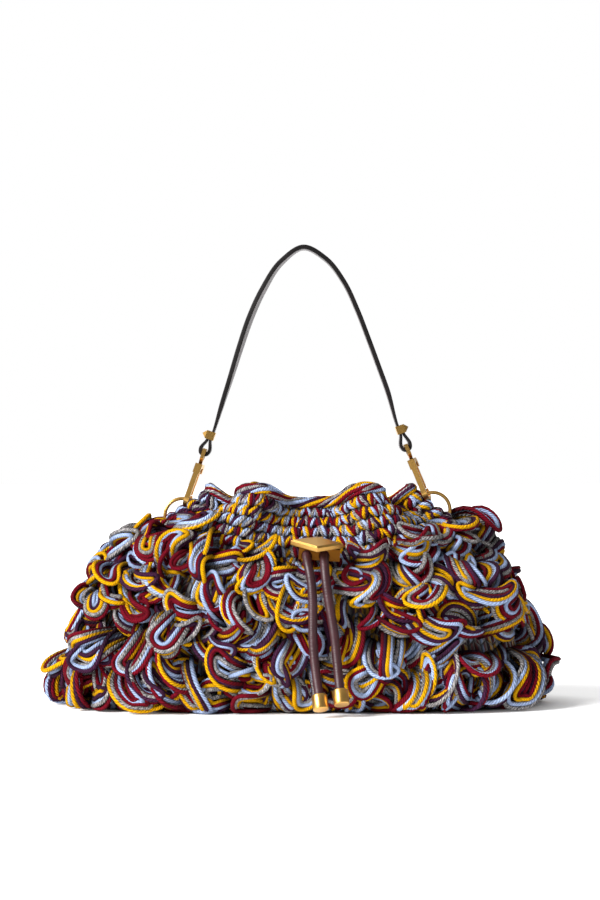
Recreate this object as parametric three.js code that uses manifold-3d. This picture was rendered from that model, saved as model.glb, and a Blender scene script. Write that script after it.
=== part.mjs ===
// A slouchy crocheted bag covered in rows of yarn loops. A leather drawcord closes its mouth through a
// metal toggle at the front, and a short leather handle clips to a ring in each shoulder.
// Millimetres, +Z up. The bag stands on its flat base and its front faces -Y.
import * as THREE from "three";
import { mergeVertices } from "three/addons/utils/BufferGeometryUtils.js";
import Module from "manifold-3d";

const wasm = await Module();
wasm.setup();

// Clearance kept between neighbouring pieces.
const GAP = 0.35;

// Crocheted wall, one row for each level from the base up: half width and half depth of the outline, how
// square its ends are, depth of the gathered pleats, rise of the rim on a pleat, and lean to the right.
const WALL = 4.5;
const FLOOR_INSET = { width: 0.97, depth: 0.92 };
const WALL_FACETS = 56;
const PLEATS = 6;
// The pleats at the sides are narrower than those in front and behind, and shallower.
const PLEAT_BUNCHING = 0.25;
const SIDE_PLEAT = 0.5;
const LEVELS = [
  { z: 0, halfWidth: 136, halfDepth: 47, square: 2.7, pleat: 0, rise: 0, lean: 0 },
  { z: 4, halfWidth: 143, halfDepth: 54, square: 2.7, pleat: 0, rise: 0, lean: 0 },
  { z: 14, halfWidth: 147, halfDepth: 58, square: 2.7, pleat: 0, rise: 0, lean: 0 },
  { z: 30, halfWidth: 146, halfDepth: 59, square: 2.7, pleat: 0, rise: 0, lean: 0 },
  { z: 48, halfWidth: 141.5, halfDepth: 57, square: 2.6, pleat: 0, rise: 0, lean: 1 },
  { z: 68, halfWidth: 135, halfDepth: 53, square: 2.5, pleat: 0, rise: 0, lean: 2 },
  { z: 86, halfWidth: 127, halfDepth: 47, square: 2.4, pleat: 0.5, rise: 0, lean: 3 },
  { z: 100, halfWidth: 117.5, halfDepth: 42, square: 2.3, pleat: 2, rise: 0.5, lean: 3 },
  { z: 112, halfWidth: 104.5, halfDepth: 37, square: 2.2, pleat: 3, rise: 1.5, lean: 4 },
  { z: 122, halfWidth: 89, halfDepth: 33.5, square: 2.2, pleat: 5, rise: 3, lean: 5 },
  { z: 130, halfWidth: 74.5, halfDepth: 31, square: 2.2, pleat: 7.5, rise: 4.5, lean: 7 },
  { z: 135, halfWidth: 66, halfDepth: 29.5, square: 2.2, pleat: 8, rise: 5.5, lean: 7 },
  { z: 138, halfWidth: 65, halfDepth: 29.5, square: 2.2, pleat: 8, rise: 6, lean: 7 },
  { z: 141, halfWidth: 62, halfDepth: 28, square: 2.2, pleat: 8, rise: 6, lean: 7 },
];

// Rows of yarn loops: height of the row at the sides of the bag, how far its loops stand out from the
// wall and how far they hang. Every row runs lower at the middle of the front and of the back.
const LOOP_ROWS = [
  { z: 13, reach: 19, hang: 7 },
  { z: 34, reach: 20, hang: 13 },
  { z: 55, reach: 20, hang: 14 },
  { z: 76, reach: 19.5, hang: 14 },
  { z: 97, reach: 19, hang: 13 },
  { z: 116, reach: 18, hang: 11 },
];
const ROW_DIP = 0.18;
const STRIP_GAP = 1;
const STRIP_THICKNESS = 2.4;
const STRIP_HEIGHT = 4.4;
// Half width and thickness of a loop as shares of the step from one loop to the next in its row, and its
// course from the upper left of its root round to the lower right: shares of its half width, reach and hang.
const LOOP_HALF_WIDTH = 0.29;
const LOOP_RADIUS = 0.13;
const LOOP_COURSE = [
  { across: -0.9, away: 0.45, drop: -0.1, tilt: 0 },
  { across: -1.05, away: 0.85, drop: 0.4, tilt: -1 },
  { across: 0, away: 1, drop: 0.8, tilt: 0 },
  { across: 1.05, away: 0.85, drop: 0.6, tilt: 1 },
  { across: 0.9, away: 0.45, drop: 0.15, tilt: 0 },
];
// How much the loops of a row differ from one another.
const LOOP_SPREAD = { reach: 0.1, width: 0.12, lean: 0.11, hang: 0.15, tilt: 0.1 };
const FLOOR_GAP = 0.6;
// Under the drawcord ends the loops are pressed short, and behind the toggle there are none.
const CORD_LANE = { x: 15, halfWidth: 25, reach: 7.5, thinning: 0.6, lift: 0.5 };
const TOGGLE_LANE = { x: 12, halfWidth: 26, above: 88 };

// Toggle: a square faceted plate, point to the front, on a block with two bores for the drawcord ends.
const TOGGLE = { x: 10.8, y: -54, z: 106.7, tilt: 10, roll: 4 };
const PLATE = { corner: 17, edge: 3.2, peak: 6.4, breakWidth: 0.9, breakHeight: 0.55 };
const BLOCK = { width: 26.6, depth: 11, height: 7.6, x: 2, y: 2 };
const BORE = { radius: 3.5, sides: 12, run: 12 };

// Drawcord ends: points of their middle lines from the bore down to the cap.
const CORD_RADIUS = 3;
const CORD_SIDES = 8;
const CORD_STEPS = 22;
const CORD_ROUTES = {
  left: [
    [4.2, -54.6, 102.6], [4.4, -58.2, 99.6], [5.2, -62.0, 95.4], [6.4, -65.2, 89.8], [7.4, -67.4, 83.0],
    [8.0, -69.0, 75.6], [8.2, -70.4, 68.2], [8.2, -71.6, 60.8], [8.2, -72.8, 53.2], [8.4, -74.0, 45.4],
    [9.0, -75.4, 37.6], [9.8, -77.2, 30.0], [10.8, -79.6, 22.6], [11.9, -82.6, 15.6], [12.6, -85.0, 10.5],
  ],
  right: [
    [15.6, -54.6, 102.6], [15.6, -58.2, 99.6], [15.8, -62.0, 95.4], [16.2, -65.2, 89.8], [17.0, -67.4, 83.0],
    [18.0, -69.0, 75.6], [19.2, -70.4, 68.2], [20.4, -71.6, 60.8], [21.6, -72.8, 53.4], [22.5, -74.0, 46.2],
    [23.2, -75.4, 39.0], [23.9, -77.2, 32.0], [24.5, -79.6, 25.2], [25.2, -82.6, 18.6], [25.8, -85.0, 13.7],
  ],
};
const CAP = { radius: 5, bore: 3.45, length: 9.8, socket: 4, brokenEdge: 0.6, sides: 16 };

// Handle strap: thickness on the arch and at the folded ends, and the middle line of the arch from the
// left keeper to the right one.
const STRAP_WIDTH = 12;
const STRAP_THICKNESS = 3;
const STRAP_END_THICKNESS = 1.7;
const STRAP_ARCH_STEPS = 4;
const STRAP_FOLD_STEPS = 2;
const STRAP_TWIST = THREE.MathUtils.degToRad(-9);
const STRAP_ARCH = [
  [-52.4, 199.2], [-46.2, 218.4], [-40.1, 238], [-33.4, 257.6], [-24.6, 276.8], [-12.4, 295.2], [2.4, 304.9],
  [17.2, 297.2], [29.6, 281.4], [38.4, 262.8], [45.6, 244.2], [52.4, 225.8], [59, 207.4],
];

// Handle ends, in the upright plane of the handle: middle of the keeper, middle of the swivel eye's bar,
// lean of the strap and of the hook from upright, and turn of the hook on its swivel.
const HANDLE_ENDS = [
  {
    side: "left", out: -1, keeper: [-59.9, 179], eye: [-63.7, 169],
    strapLean: 19.6, hookLean: 19.2, turn: -8,
  },
  {
    side: "right", out: 1, keeper: [67.2, 183], eye: [70.8, 172],
    strapLean: -19.8, hookLean: -23, turn: -13,
  },
];
const KEEPER = { across: 5.9, width: 14.2, length: 5.6, point: 2.8, pointSink: 0.01, slotAcross: 4.6 };
// The two layers of a folded strap end, and where they pass the keeper, from its middle.
const LAYER_OFFSET = 1.08;
const LAYER_RISE = { tail: 2, below: -3.3, above: 4.4 };
const FOLD_RADIUS = 2.95;

// Swivel eye, snap hook, gate and shoulder ring. Heights run down from the middle of the eye's bar.
const EYE_WIRE = 2.4;
const EYE_HALF_WIDTH = 9;
const EYE_SHOULDER = -5.4;
const EYE_HOLE = { shoulder: -4.8, throat: -7.4, throatHalfWidth: 0.9 };
const STEM_RADIUS = 1.1;
const STEM_HOLE = 2.05;
const STEM_TOP = -9.2;
const STEM_HEAD = { neck: -12.6, top: -12.9, bottom: -14.4, halfWidth: 2.3 };
const HOOK_THICKNESS = 4.8;
const HOOK_SLIM = 3.4;
const HOOK_TOP = -9.6;
const HOOK_INNER = 3.4;
const HOOK_OUTER = 6.2;
const COLLAR = { topHalfWidth: 4.2, edge: -11.2, bottom: -12.2 };
const EAR = { inner: 3.1, outer: 5.9, bottom: -16, slotTop: -12.1, slotDepth: 6, slotY: 5.1 };
const BEND_MIDDLE = -33.5;
const NOSE_TOP = -31.9;
const PIVOT = { y: 4.5, z: -14.2 };
const PIN_RADIUS = 0.6;
const PIN_HOLE = 1;
const KNUCKLE_RADIUS = 1.5;
const GATE = { thickness: 2.4, halfWidth: 1, tip: -31.5 };
const RING_RADIUS = 11.5;
const RING_WIRE = 1.2;
const RING_PASSAGE = 1.65;
const RING_PLAY = 0.9;
const RING_SEGMENTS = { wire: 6, around: 22 };
const RING_HOLD = BEND_MIDDLE - HOOK_INNER + RING_WIRE + RING_PLAY;

const material = (name, color, roughness, metalness = 0) =>
  new THREE.MeshStandardMaterial({ name, color, roughness, metalness });
const wallYarn = material("mixed_yarn", 0x6b5560, 0.95);
const loopYarn = material("loop_yarn", 0x77636c, 0.95);
const blackLeather = material("black_leather", 0x1c1718, 0.45);
const oxbloodLeather = material("oxblood_leather", 0x4a1c22, 0.5);
const antiqueGold = material("antique_gold", 0xb08434, 0.32, 1);

const bag = new THREE.Group();

function addMesh(parent, name, geometry, finish) {
  const mesh = new THREE.Mesh(geometry, finish);
  mesh.name = name;
  parent.add(mesh);
  return mesh;
}

// Joins and cuts work on plain position meshes whose shared points are merged.
function merged(geometry) {
  const plain = geometry.clone();
  plain.deleteAttribute("normal");
  plain.deleteAttribute("uv");
  return mergeVertices(plain, 1e-4);
}

function toSolid(geometry) {
  const plain = merged(geometry);
  return new wasm.Manifold(
    new wasm.Mesh({
      numProp: 3,
      vertProperties: new Float32Array(plain.attributes.position.array),
      triVerts: new Uint32Array(plain.index.array),
    }),
  );
}

function toGeometry(solid) {
  const mesh = solid.getMesh();
  const geometry = new THREE.BufferGeometry();
  geometry.setAttribute("position", new THREE.BufferAttribute(mesh.vertProperties, 3));
  geometry.setIndex(new THREE.BufferAttribute(mesh.triVerts, 1));
  geometry.computeVertexNormals();
  return geometry;
}

function meshFrom(points, triangles) {
  const geometry = new THREE.BufferGeometry().setFromPoints(points);
  geometry.setIndex(triangles);
  geometry.computeVertexNormals();
  return geometry;
}

// Skin between two rings of point numbers, which run anticlockwise about the way from one to the other.
function bridge(triangles, first, second) {
  first.forEach((a, k) => {
    const next = (k + 1) % first.length;
    triangles.push(a, first[next], second[next], a, second[next], second[k]);
  });
}

// Closed skin over a stack of rings, each end closed by a fan to its middle point.
function closedLoft(rings, startMiddle, endMiddle) {
  const points = [startMiddle, endMiddle];
  const triangles = [];
  const numbered = rings.map((ring) => ring.map((point) => points.push(point) - 1));
  for (let i = 1; i < numbered.length; i += 1) {
    bridge(triangles, numbered[i - 1], numbered[i]);
  }
  const first = numbered[0];
  const last = numbered.at(-1);
  first.forEach((point, k) => {
    const next = (k + 1) % first.length;
    triangles.push(0, first[next], point);
    triangles.push(1, last[k], last[next]);
  });
  return meshFrom(points, triangles);
}

// Outline of one level of the wall, from the middle of the front and anticlockwise seen from above.
class LevelOutline extends THREE.Curve {
  constructor(level) {
    super();
    this.level = level;
    this.arcLengthDivisions = 720;
  }

  getPoint(t, target = new THREE.Vector2()) {
    const angle = 2 * Math.PI * t - Math.PI / 2;
    const squared = (size, value) => size * Math.sign(value) * Math.abs(value) ** (2 / this.level.square);
    return target.set(
      squared(this.level.halfWidth, Math.cos(angle)),
      squared(this.level.halfDepth, Math.sin(angle)),
    );
  }
}

// Pleats stand out where this is 1 and draw in where it is -1, as at the middle of the front.
const pleatWave = (place) => {
  const turn = (2 * Math.PI * place) / WALL_FACETS;
  const front = (1 + Math.cos(2 * turn)) / 2;
  const depth = SIDE_PLEAT + (1 - SIDE_PLEAT) * front;
  return -depth * Math.cos(PLEATS * turn - 2 * Math.PI * PLEAT_BUNCHING * Math.sin(2 * turn));
};
const wrap = (place) => (place + WALL_FACETS) % WALL_FACETS;

function levelRing(level) {
  const points = new LevelOutline(level).getSpacedPoints(WALL_FACETS).slice(0, -1);
  return points.map((point, place) => {
    const along = points[wrap(place + 1)].clone().sub(points[wrap(place - 1)]).normalize();
    const out = level.pleat * pleatWave(place);
    return new THREE.Vector3(
      point.x + along.y * out + level.lean,
      point.y - along.x * out,
      level.z + level.rise * pleatWave(place),
    );
  });
}

const wallRings = LEVELS.map(levelRing);

function wallNormal(index, place) {
  const ring = wallRings[index];
  const along = ring[wrap(place + 1)].clone().sub(ring[wrap(place - 1)]);
  const above = wallRings[Math.min(index + 1, wallRings.length - 1)][place];
  const below = wallRings[Math.max(index - 1, 0)][place];
  return along.cross(above.clone().sub(below)).normalize();
}

// The wall's outer point, upward direction and outward normal at one place round it and one height.
function wallAt(place, height) {
  let index = 0;
  while (index < wallRings.length - 2 && wallRings[index + 1][place].z < height) {
    index += 1;
  }
  const low = wallRings[index][place];
  const high = wallRings[index + 1][place];
  const share = (height - low.z) / (high.z - low.z);
  const normal = wallNormal(index, place).lerp(wallNormal(index + 1, place), share).normalize();
  const up = high.clone().sub(low);
  up.addScaledVector(normal, -up.dot(normal)).normalize();
  return { point: low.clone().lerp(high, share), up, normal };
}

// A point in the upright plane of the handle.
const upright = (x, z) => new THREE.Vector3(x, 0, z);

// Shoulder ring, upright and in the plane of the handle, threaded through the wall.
function ringGeometry(wireRadius) {
  const ring = new THREE.TorusGeometry(RING_RADIUS, wireRadius, RING_SEGMENTS.wire, RING_SEGMENTS.around);
  return ring.rotateX(Math.PI / 2);
}

function ringMiddle(end) {
  const lean = THREE.MathUtils.degToRad(end.hookLean);
  const along = RING_HOLD - RING_RADIUS;
  return upright(end.eye[0] + along * Math.sin(lean), end.eye[1] + along * Math.cos(lean));
}

// Pouch: outer skin up to the rim, over it and down the inside, with passages for the two rings.
function pouchGeometry() {
  const inside = wallRings.map((ring, index) =>
    ring.map((point, place) => point.clone().addScaledVector(wallNormal(index, place), -WALL)),
  );
  const floorRing = wallRings[0].map(
    (point) => new THREE.Vector3(point.x * FLOOR_INSET.width, point.y * FLOOR_INSET.depth, WALL),
  );
  const innerRings = inside.slice(2, -2).reverse();
  const rim = wallRings.at(-1).map((point, place) => {
    const inward = wallNormal(wallRings.length - 1, place).setZ(0).normalize();
    return point.clone().addScaledVector(inward, -WALL);
  });
  const skin = closedLoft(
    [...wallRings, rim, ...innerRings, floorRing],
    new THREE.Vector3(0, 0, 0),
    new THREE.Vector3(0, 0, WALL),
  );
  let solid = toSolid(skin);
  for (const end of HANDLE_ENDS) {
    const middle = ringMiddle(end);
    const passage = ringGeometry(RING_PASSAGE).translate(middle.x, middle.y, middle.z);
    solid = solid.subtract(toSolid(passage));
  }
  return toGeometry(solid);
}

// A repeatable value from -1 to 1 for one loop.
function spread(row, place, salt) {
  const value = Math.sin(row * 12.9898 + place * 78.233 + salt * 37.719) * 43758.5453;
  return 2 * (value - Math.floor(value)) - 1;
}

// Middle line of one loop and its thickness.
function loopLine(row, place, root, frame) {
  const { reach, hang } = LOOP_ROWS[row];
  const vary = (name, salt) => LOOP_SPREAD[name] * spread(row, place, salt);
  const pressed = root.y < 0 && Math.abs(root.x - CORD_LANE.x) < CORD_LANE.halfWidth;
  const radius = LOOP_RADIUS * frame.pitch * (pressed ? CORD_LANE.thinning : 1);
  const out = pressed ? CORD_LANE.reach : reach * (1 + vary("reach", 1));
  const halfWidth = LOOP_HALF_WIDTH * frame.pitch * (1 + vary("width", 2));
  const lean = frame.pitch * vary("lean", 3);
  const fall = hang * frame.spacing * (1 + vary("hang", 4)) * (pressed ? CORD_LANE.lift : 1);
  const tilted = vary("tilt", 5);
  const line = LOOP_COURSE.map(({ across, away, drop, tilt }) => {
    const point = root.clone()
      .addScaledVector(frame.along, across * halfWidth + away * lean)
      .addScaledVector(frame.normal, away * out);
    return point.setZ(Math.max(point.z - (drop + tilt * tilted) * fall, radius + FLOOR_GAP));
  });
  return { line, radius };
}

// Angles about an axis from three evenly spread directions, the first one given, to three corners: their
// mean and the largest.
function turnOnto(corners, centre, axis, direction) {
  const angles = corners.map((corner, k) => {
    const from = direction.clone().applyAxisAngle(axis, (2 * Math.PI * k) / 3);
    const onto = corner.clone().sub(centre).projectOnPlane(axis);
    return Math.atan2(from.clone().cross(onto).dot(axis), from.dot(onto));
  });
  return { mean: (angles[0] + angles[1] + angles[2]) / 3, largest: Math.max(...angles.map(Math.abs)) };
}

// Adds a three-sided tube that starts on one root triangle and ends on the other. Its sides turn with the
// line, and the little twist that brings them onto the end triangle is shared out along it.
function addLoop(points, triangles, start, { line, radius }, finish, normal) {
  const cornersOf = (ring) => ring.map((k) => points[k]);
  const middle = (ring) => {
    const [a, b, c] = cornersOf(ring);
    return a.clone().add(b).add(c).divideScalar(3);
  };
  const route = [middle(start), ...line, middle(finish)];
  const backIn = normal.clone().negate();
  const ways = line.map((_, step) => route[step + 2].clone().sub(route[step]).normalize());
  const side = points[start[0]].clone().sub(route[0]).projectOnPlane(normal).normalize();
  side.applyAxisAngle(normal, turnOnto(cornersOf(start), route[0], normal, side).mean);
  const sides = [...ways, backIn].map((way, step) => {
    const before = step === 0 ? normal : ways[step - 1];
    return side.applyQuaternion(new THREE.Quaternion().setFromUnitVectors(before, way)).clone();
  });
  const endings = [0, 1, 2].map((first) => {
    const ring = [0, 1, 2].map((k) => finish[(first + k) % 3]);
    return { ring, turn: turnOnto(cornersOf(ring), route.at(-1), backIn, side) };
  });
  const ending = endings.sort((a, b) => a.turn.largest - b.turn.largest)[0];
  let ring = start;
  line.forEach((centre, step) => {
    const twist = (ending.turn.mean * (step + 1)) / (line.length + 1);
    const next = [0, 1, 2].map((k) => {
      const corner = sides[step].clone().applyAxisAngle(ways[step], twist + (2 * Math.PI * k) / 3);
      return points.push(centre.clone().addScaledVector(corner, radius)) - 1;
    });
    bridge(triangles, ring, next);
    ring = next;
  });
  bridge(triangles, ring, ending.ring);
}

// Rows are closer together where they dip.
const rowSpacing = (place) => 1 - ROW_DIP * Math.cos((2 * Math.PI * place) / WALL_FACETS) ** 2;

// One row: a narrow strip just outside the wall, with a loop on every second facet of its outer face.
function loopRowGeometry(row) {
  const points = [];
  const triangles = [];
  const places = [...Array(WALL_FACETS).keys()];
  const stations = places.map((place) => {
    return wallAt(place, LOOP_ROWS[row].z * rowSpacing(place));
  });
  const corners = stations.map(({ point, up, normal }) => {
    const corner = (rise, out) =>
      points.push(point.clone().addScaledVector(up, rise).addScaledVector(normal, out)) - 1;
    const outer = STRIP_GAP + STRIP_THICKNESS;
    const half = STRIP_HEIGHT / 2;
    return {
      innerLow: corner(-half, STRIP_GAP),
      innerHigh: corner(half, STRIP_GAP),
      outerHigh: corner(half, outer),
      outerLow: corner(-half, outer),
    };
  });
  const quad = (a, b, c, d) => triangles.push(a, b, c, a, c, d);
  for (const place of places) {
    const here = corners[place];
    const next = corners[wrap(place + 1)];
    quad(here.innerHigh, next.innerHigh, next.innerLow, here.innerLow);
    quad(here.outerHigh, next.outerHigh, next.innerHigh, here.innerHigh);
    quad(here.innerLow, next.innerLow, next.outerLow, here.outerLow);
    const along = points[next.outerLow].clone().sub(points[here.outerLow]);
    const root = points[here.outerLow].clone().lerp(points[next.outerHigh], 0.5);
    const behindToggle =
      root.y < 0 && root.z > TOGGLE_LANE.above && Math.abs(root.x - TOGGLE_LANE.x) < TOGGLE_LANE.halfWidth;
    if ((place + row) % 2 === 1 || behindToggle) {
      quad(here.outerLow, next.outerLow, next.outerHigh, here.outerHigh);
      continue;
    }
    const frame = {
      pitch: 2 * along.length(),
      spacing: rowSpacing(place),
      along: along.normalize(),
      normal: stations[place].normal.clone().add(stations[wrap(place + 1)].normal).normalize(),
    };
    addLoop(
      points,
      triangles,
      [here.outerLow, next.outerHigh, here.outerHigh],
      loopLine(row, place, root, frame),
      [here.outerLow, next.outerHigh, next.outerLow],
      frame.normal,
    );
  }
  return meshFrom(points, triangles);
}

addMesh(bag, "pouch", pouchGeometry(), wallYarn);
LOOP_ROWS.forEach((_, row) => addMesh(bag, `loop_row_${row + 1}`, loopRowGeometry(row), loopYarn));

// Toggle plate: a lathe of four sides gives the square with its low pyramid and broken edges.
const toggle = new THREE.Group();
toggle.position.set(TOGGLE.x, TOGGLE.y, TOGGLE.z);
toggle.rotation.set(THREE.MathUtils.degToRad(TOGGLE.tilt), THREE.MathUtils.degToRad(TOGGLE.roll), 0);
bag.add(toggle);

const profile = (corners) => corners.map(([radius, height]) => new THREE.Vector2(radius, height));
const plateProfile = profile([
  [0, 0],
  [PLATE.corner - PLATE.breakWidth, 0],
  [PLATE.corner, PLATE.breakHeight],
  [PLATE.corner, PLATE.edge],
  [PLATE.corner - PLATE.breakWidth, PLATE.edge + PLATE.breakHeight],
  [0, PLATE.peak],
]);
const plate = merged(new THREE.LatheGeometry(plateProfile, 4)).rotateX(Math.PI / 2);
addMesh(toggle, "toggle_plate", plate, antiqueGold);

// Toggle block: its two bores slope down to the front, where the drawcord ends come out.
function blockGeometry() {
  const middleZ = -GAP - BLOCK.height / 2;
  const body = new THREE.BoxGeometry(BLOCK.width, BLOCK.depth, BLOCK.height);
  let solid = toSolid(body.translate(BLOCK.x, BLOCK.y, middleZ));
  for (const route of Object.values(CORD_ROUTES)) {
    const [start, next] = route.map((point) => new THREE.Vector3(...point));
    const way = next.clone().sub(start).normalize();
    const from = toggle.worldToLocal(start.clone().addScaledVector(way, -CORD_RADIUS));
    const to = toggle.worldToLocal(next.clone().addScaledVector(way, BORE.run));
    const bore = new THREE.CylinderGeometry(BORE.radius, BORE.radius, from.distanceTo(to), BORE.sides);
    const turn = new THREE.Quaternion().setFromUnitVectors(
      new THREE.Vector3(0, 1, 0),
      to.clone().sub(from).normalize(),
    );
    const middle = from.clone().lerp(to, 0.5);
    bore.applyQuaternion(turn).translate(middle.x, middle.y, middle.z);
    solid = solid.subtract(toSolid(bore));
  }
  return toGeometry(solid);
}

toggle.updateMatrixWorld(true);
addMesh(toggle, "toggle_block", blockGeometry(), antiqueGold);

// Drawcord ends with their metal caps.
function circleShape(radius, sides) {
  const corners = [...Array(sides).keys()].map((k) => {
    const angle = (2 * Math.PI * k) / sides;
    return new THREE.Vector2(radius * Math.cos(angle), radius * Math.sin(angle));
  });
  return new THREE.Shape(corners);
}

const capProfile = profile([
  [0, CAP.socket + GAP],
  [CAP.bore, CAP.socket + GAP],
  [CAP.bore, 0],
  [CAP.radius - CAP.brokenEdge, 0],
  [CAP.radius, CAP.brokenEdge],
  [CAP.radius, CAP.length - CAP.brokenEdge],
  [CAP.radius - CAP.brokenEdge, CAP.length],
  [0, CAP.length],
]);

for (const [side, route] of Object.entries(CORD_ROUTES)) {
  const line = new THREE.CatmullRomCurve3(route.map((point) => new THREE.Vector3(...point)));
  const tube = new THREE.ExtrudeGeometry(circleShape(CORD_RADIUS, CORD_SIDES), {
    extrudePath: line,
    steps: CORD_STEPS,
  });
  addMesh(bag, `drawcord_${side}`, merged(tube), oxbloodLeather);
  const way = line.getTangent(1);
  const turned = merged(new THREE.LatheGeometry(capProfile, CAP.sides));
  const cap = addMesh(bag, `cord_cap_${side}`, turned, antiqueGold);
  cap.position.copy(line.getPoint(1)).addScaledVector(way, -CAP.socket);
  cap.quaternion.setFromUnitVectors(new THREE.Vector3(0, 1, 0), way);
}

// Handle strap: its ends fold round the swivel eyes and go back up into the keepers.
function foldedEnd(end) {
  const lean = THREE.MathUtils.degToRad(end.strapLean);
  const along = upright(Math.sin(lean), Math.cos(lean));
  const inward = upright(Math.cos(lean), -Math.sin(lean)).multiplyScalar(-end.out);
  const keeper = upright(...end.keeper);
  const eye = upright(...end.eye);
  const layer = (side, rise) =>
    keeper.clone().addScaledVector(inward, side * LAYER_OFFSET).addScaledVector(along, rise);
  const fold = [-90, -45, 0, 45, 90].map((degrees) => {
    const angle = THREE.MathUtils.degToRad(degrees);
    return eye.clone()
      .addScaledVector(inward, FOLD_RADIUS * Math.sin(angle))
      .addScaledVector(along, -FOLD_RADIUS * Math.cos(angle));
  });
  return [
    layer(-1, LAYER_RISE.tail),
    layer(-1, LAYER_RISE.below),
    ...fold,
    layer(1, LAYER_RISE.below),
    layer(1, LAYER_RISE.above),
  ];
}

// Stations along the strap: close together round the folds, wider apart on the arch.
function strapStations(folds, spans) {
  const stations = [];
  for (let span = 0; span < spans; span += 1) {
    const onArch = span >= folds - 1 && span < spans - folds + 1;
    const count = onArch ? STRAP_ARCH_STEPS : STRAP_FOLD_STEPS;
    for (let k = 0; k < count; k += 1) {
      stations.push((span + k / count) / spans);
    }
  }
  return [...stations, 1];
}

function strapGeometry() {
  const arch = STRAP_ARCH.map(([x, z]) => upright(x, z));
  const [leftEnd, rightEnd] = HANDLE_ENDS.map(foldedEnd);
  const line = new THREE.CatmullRomCurve3([...leftEnd, ...arch, ...rightEnd.reverse()]);
  const spans = line.points.length - 1;
  const archStart = leftEnd.length / spans;
  const rings = strapStations(leftEnd.length, spans).map((share) => {
    const middle = line.getPoint(share);
    const way = line.getTangent(share);
    const fromEnd = Math.min(share, 1 - share);
    const inArch = THREE.MathUtils.smoothstep(fromEnd, archStart - 1 / spans, archStart);
    const downLeftLeg = THREE.MathUtils.clamp((share - archStart) / (0.5 - archStart), 0, 1);
    const twist = STRAP_TWIST * Math.sin(Math.PI * downLeftLeg);
    const depth = new THREE.Vector3(0, 1, 0).applyAxisAngle(way, twist);
    const face = way.clone().cross(depth);
    const halfThickness = THREE.MathUtils.lerp(STRAP_END_THICKNESS, STRAP_THICKNESS, inArch) / 2;
    return [[-1, -1], [1, -1], [1, 1], [-1, 1]].map(([a, b]) =>
      middle.clone().addScaledVector(depth, (a * STRAP_WIDTH) / 2).addScaledVector(face, b * halfThickness),
    );
  });
  return closedLoft(rings, line.getPoint(0), line.getPoint(1));
}

addMesh(bag, "handle_strap", strapGeometry(), blackLeather);

// Turns a flat outline, drawn with depth across and height up, into a plate that is thick along X.
function plateAcross(outline, thickness) {
  const flat = new THREE.ExtrudeGeometry(outline, {
    depth: thickness,
    bevelEnabled: false,
    curveSegments: 8,
  });
  flat.translate(0, 0, -thickness / 2);
  const axes = [new THREE.Vector3(0, 1, 0), new THREE.Vector3(0, 0, 1), new THREE.Vector3(1, 0, 0)];
  return flat.applyMatrix4(new THREE.Matrix4().makeBasis(...axes));
}

function shapeFrom(corners) {
  return new THREE.Shape(corners.map(([y, z]) => new THREE.Vector2(y, z)));
}

// Both halves of an outline that is the same to the front and to the back.
const mirrored = (half) => [...half.map(([y, z]) => [-y, z]), ...half.toReversed()];

// Keeper: a metal sleeve round both layers of the strap, with a pyramid point on its outer side.
function keeperGeometry(out) {
  const sleeve = toSolid(new THREE.BoxGeometry(KEEPER.across, KEEPER.width, KEEPER.length));
  const slot = toSolid(new THREE.BoxGeometry(KEEPER.slotAcross, STRAP_WIDTH + 2 * GAP, 2 * KEEPER.length));
  const point = new THREE.ConeGeometry((KEEPER.length / 2) * Math.SQRT2, KEEPER.point, 4);
  point.rotateY(Math.PI / 4).rotateZ(-out * Math.PI / 2);
  point.translate(out * (KEEPER.across / 2 + KEEPER.point / 2 - KEEPER.pointSink), 0, 0);
  return toGeometry(sleeve.subtract(slot).add(toSolid(point)));
}

// Swivel eye: a flat-topped loop for the strap, and a headed stem that turns in the hook's collar.
function eyeGeometry() {
  const inner = EYE_HALF_WIDTH - EYE_WIRE;
  const outline = shapeFrom(
    mirrored([
      [EYE_HALF_WIDTH, EYE_WIRE / 2],
      [EYE_HALF_WIDTH, EYE_SHOULDER],
      [STEM_RADIUS, STEM_TOP],
      [STEM_RADIUS, STEM_HEAD.neck],
      [STEM_HEAD.halfWidth, STEM_HEAD.top],
      [STEM_HEAD.halfWidth, STEM_HEAD.bottom],
    ]),
  );
  outline.holes.push(
    shapeFrom(
      mirrored([
        [inner, -EYE_WIRE / 2],
        [inner, EYE_HOLE.shoulder],
        [EYE_HOLE.throatHalfWidth, EYE_HOLE.throat],
      ]),
    ),
  );
  return plateAcross(outline, EYE_WIRE);
}

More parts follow.
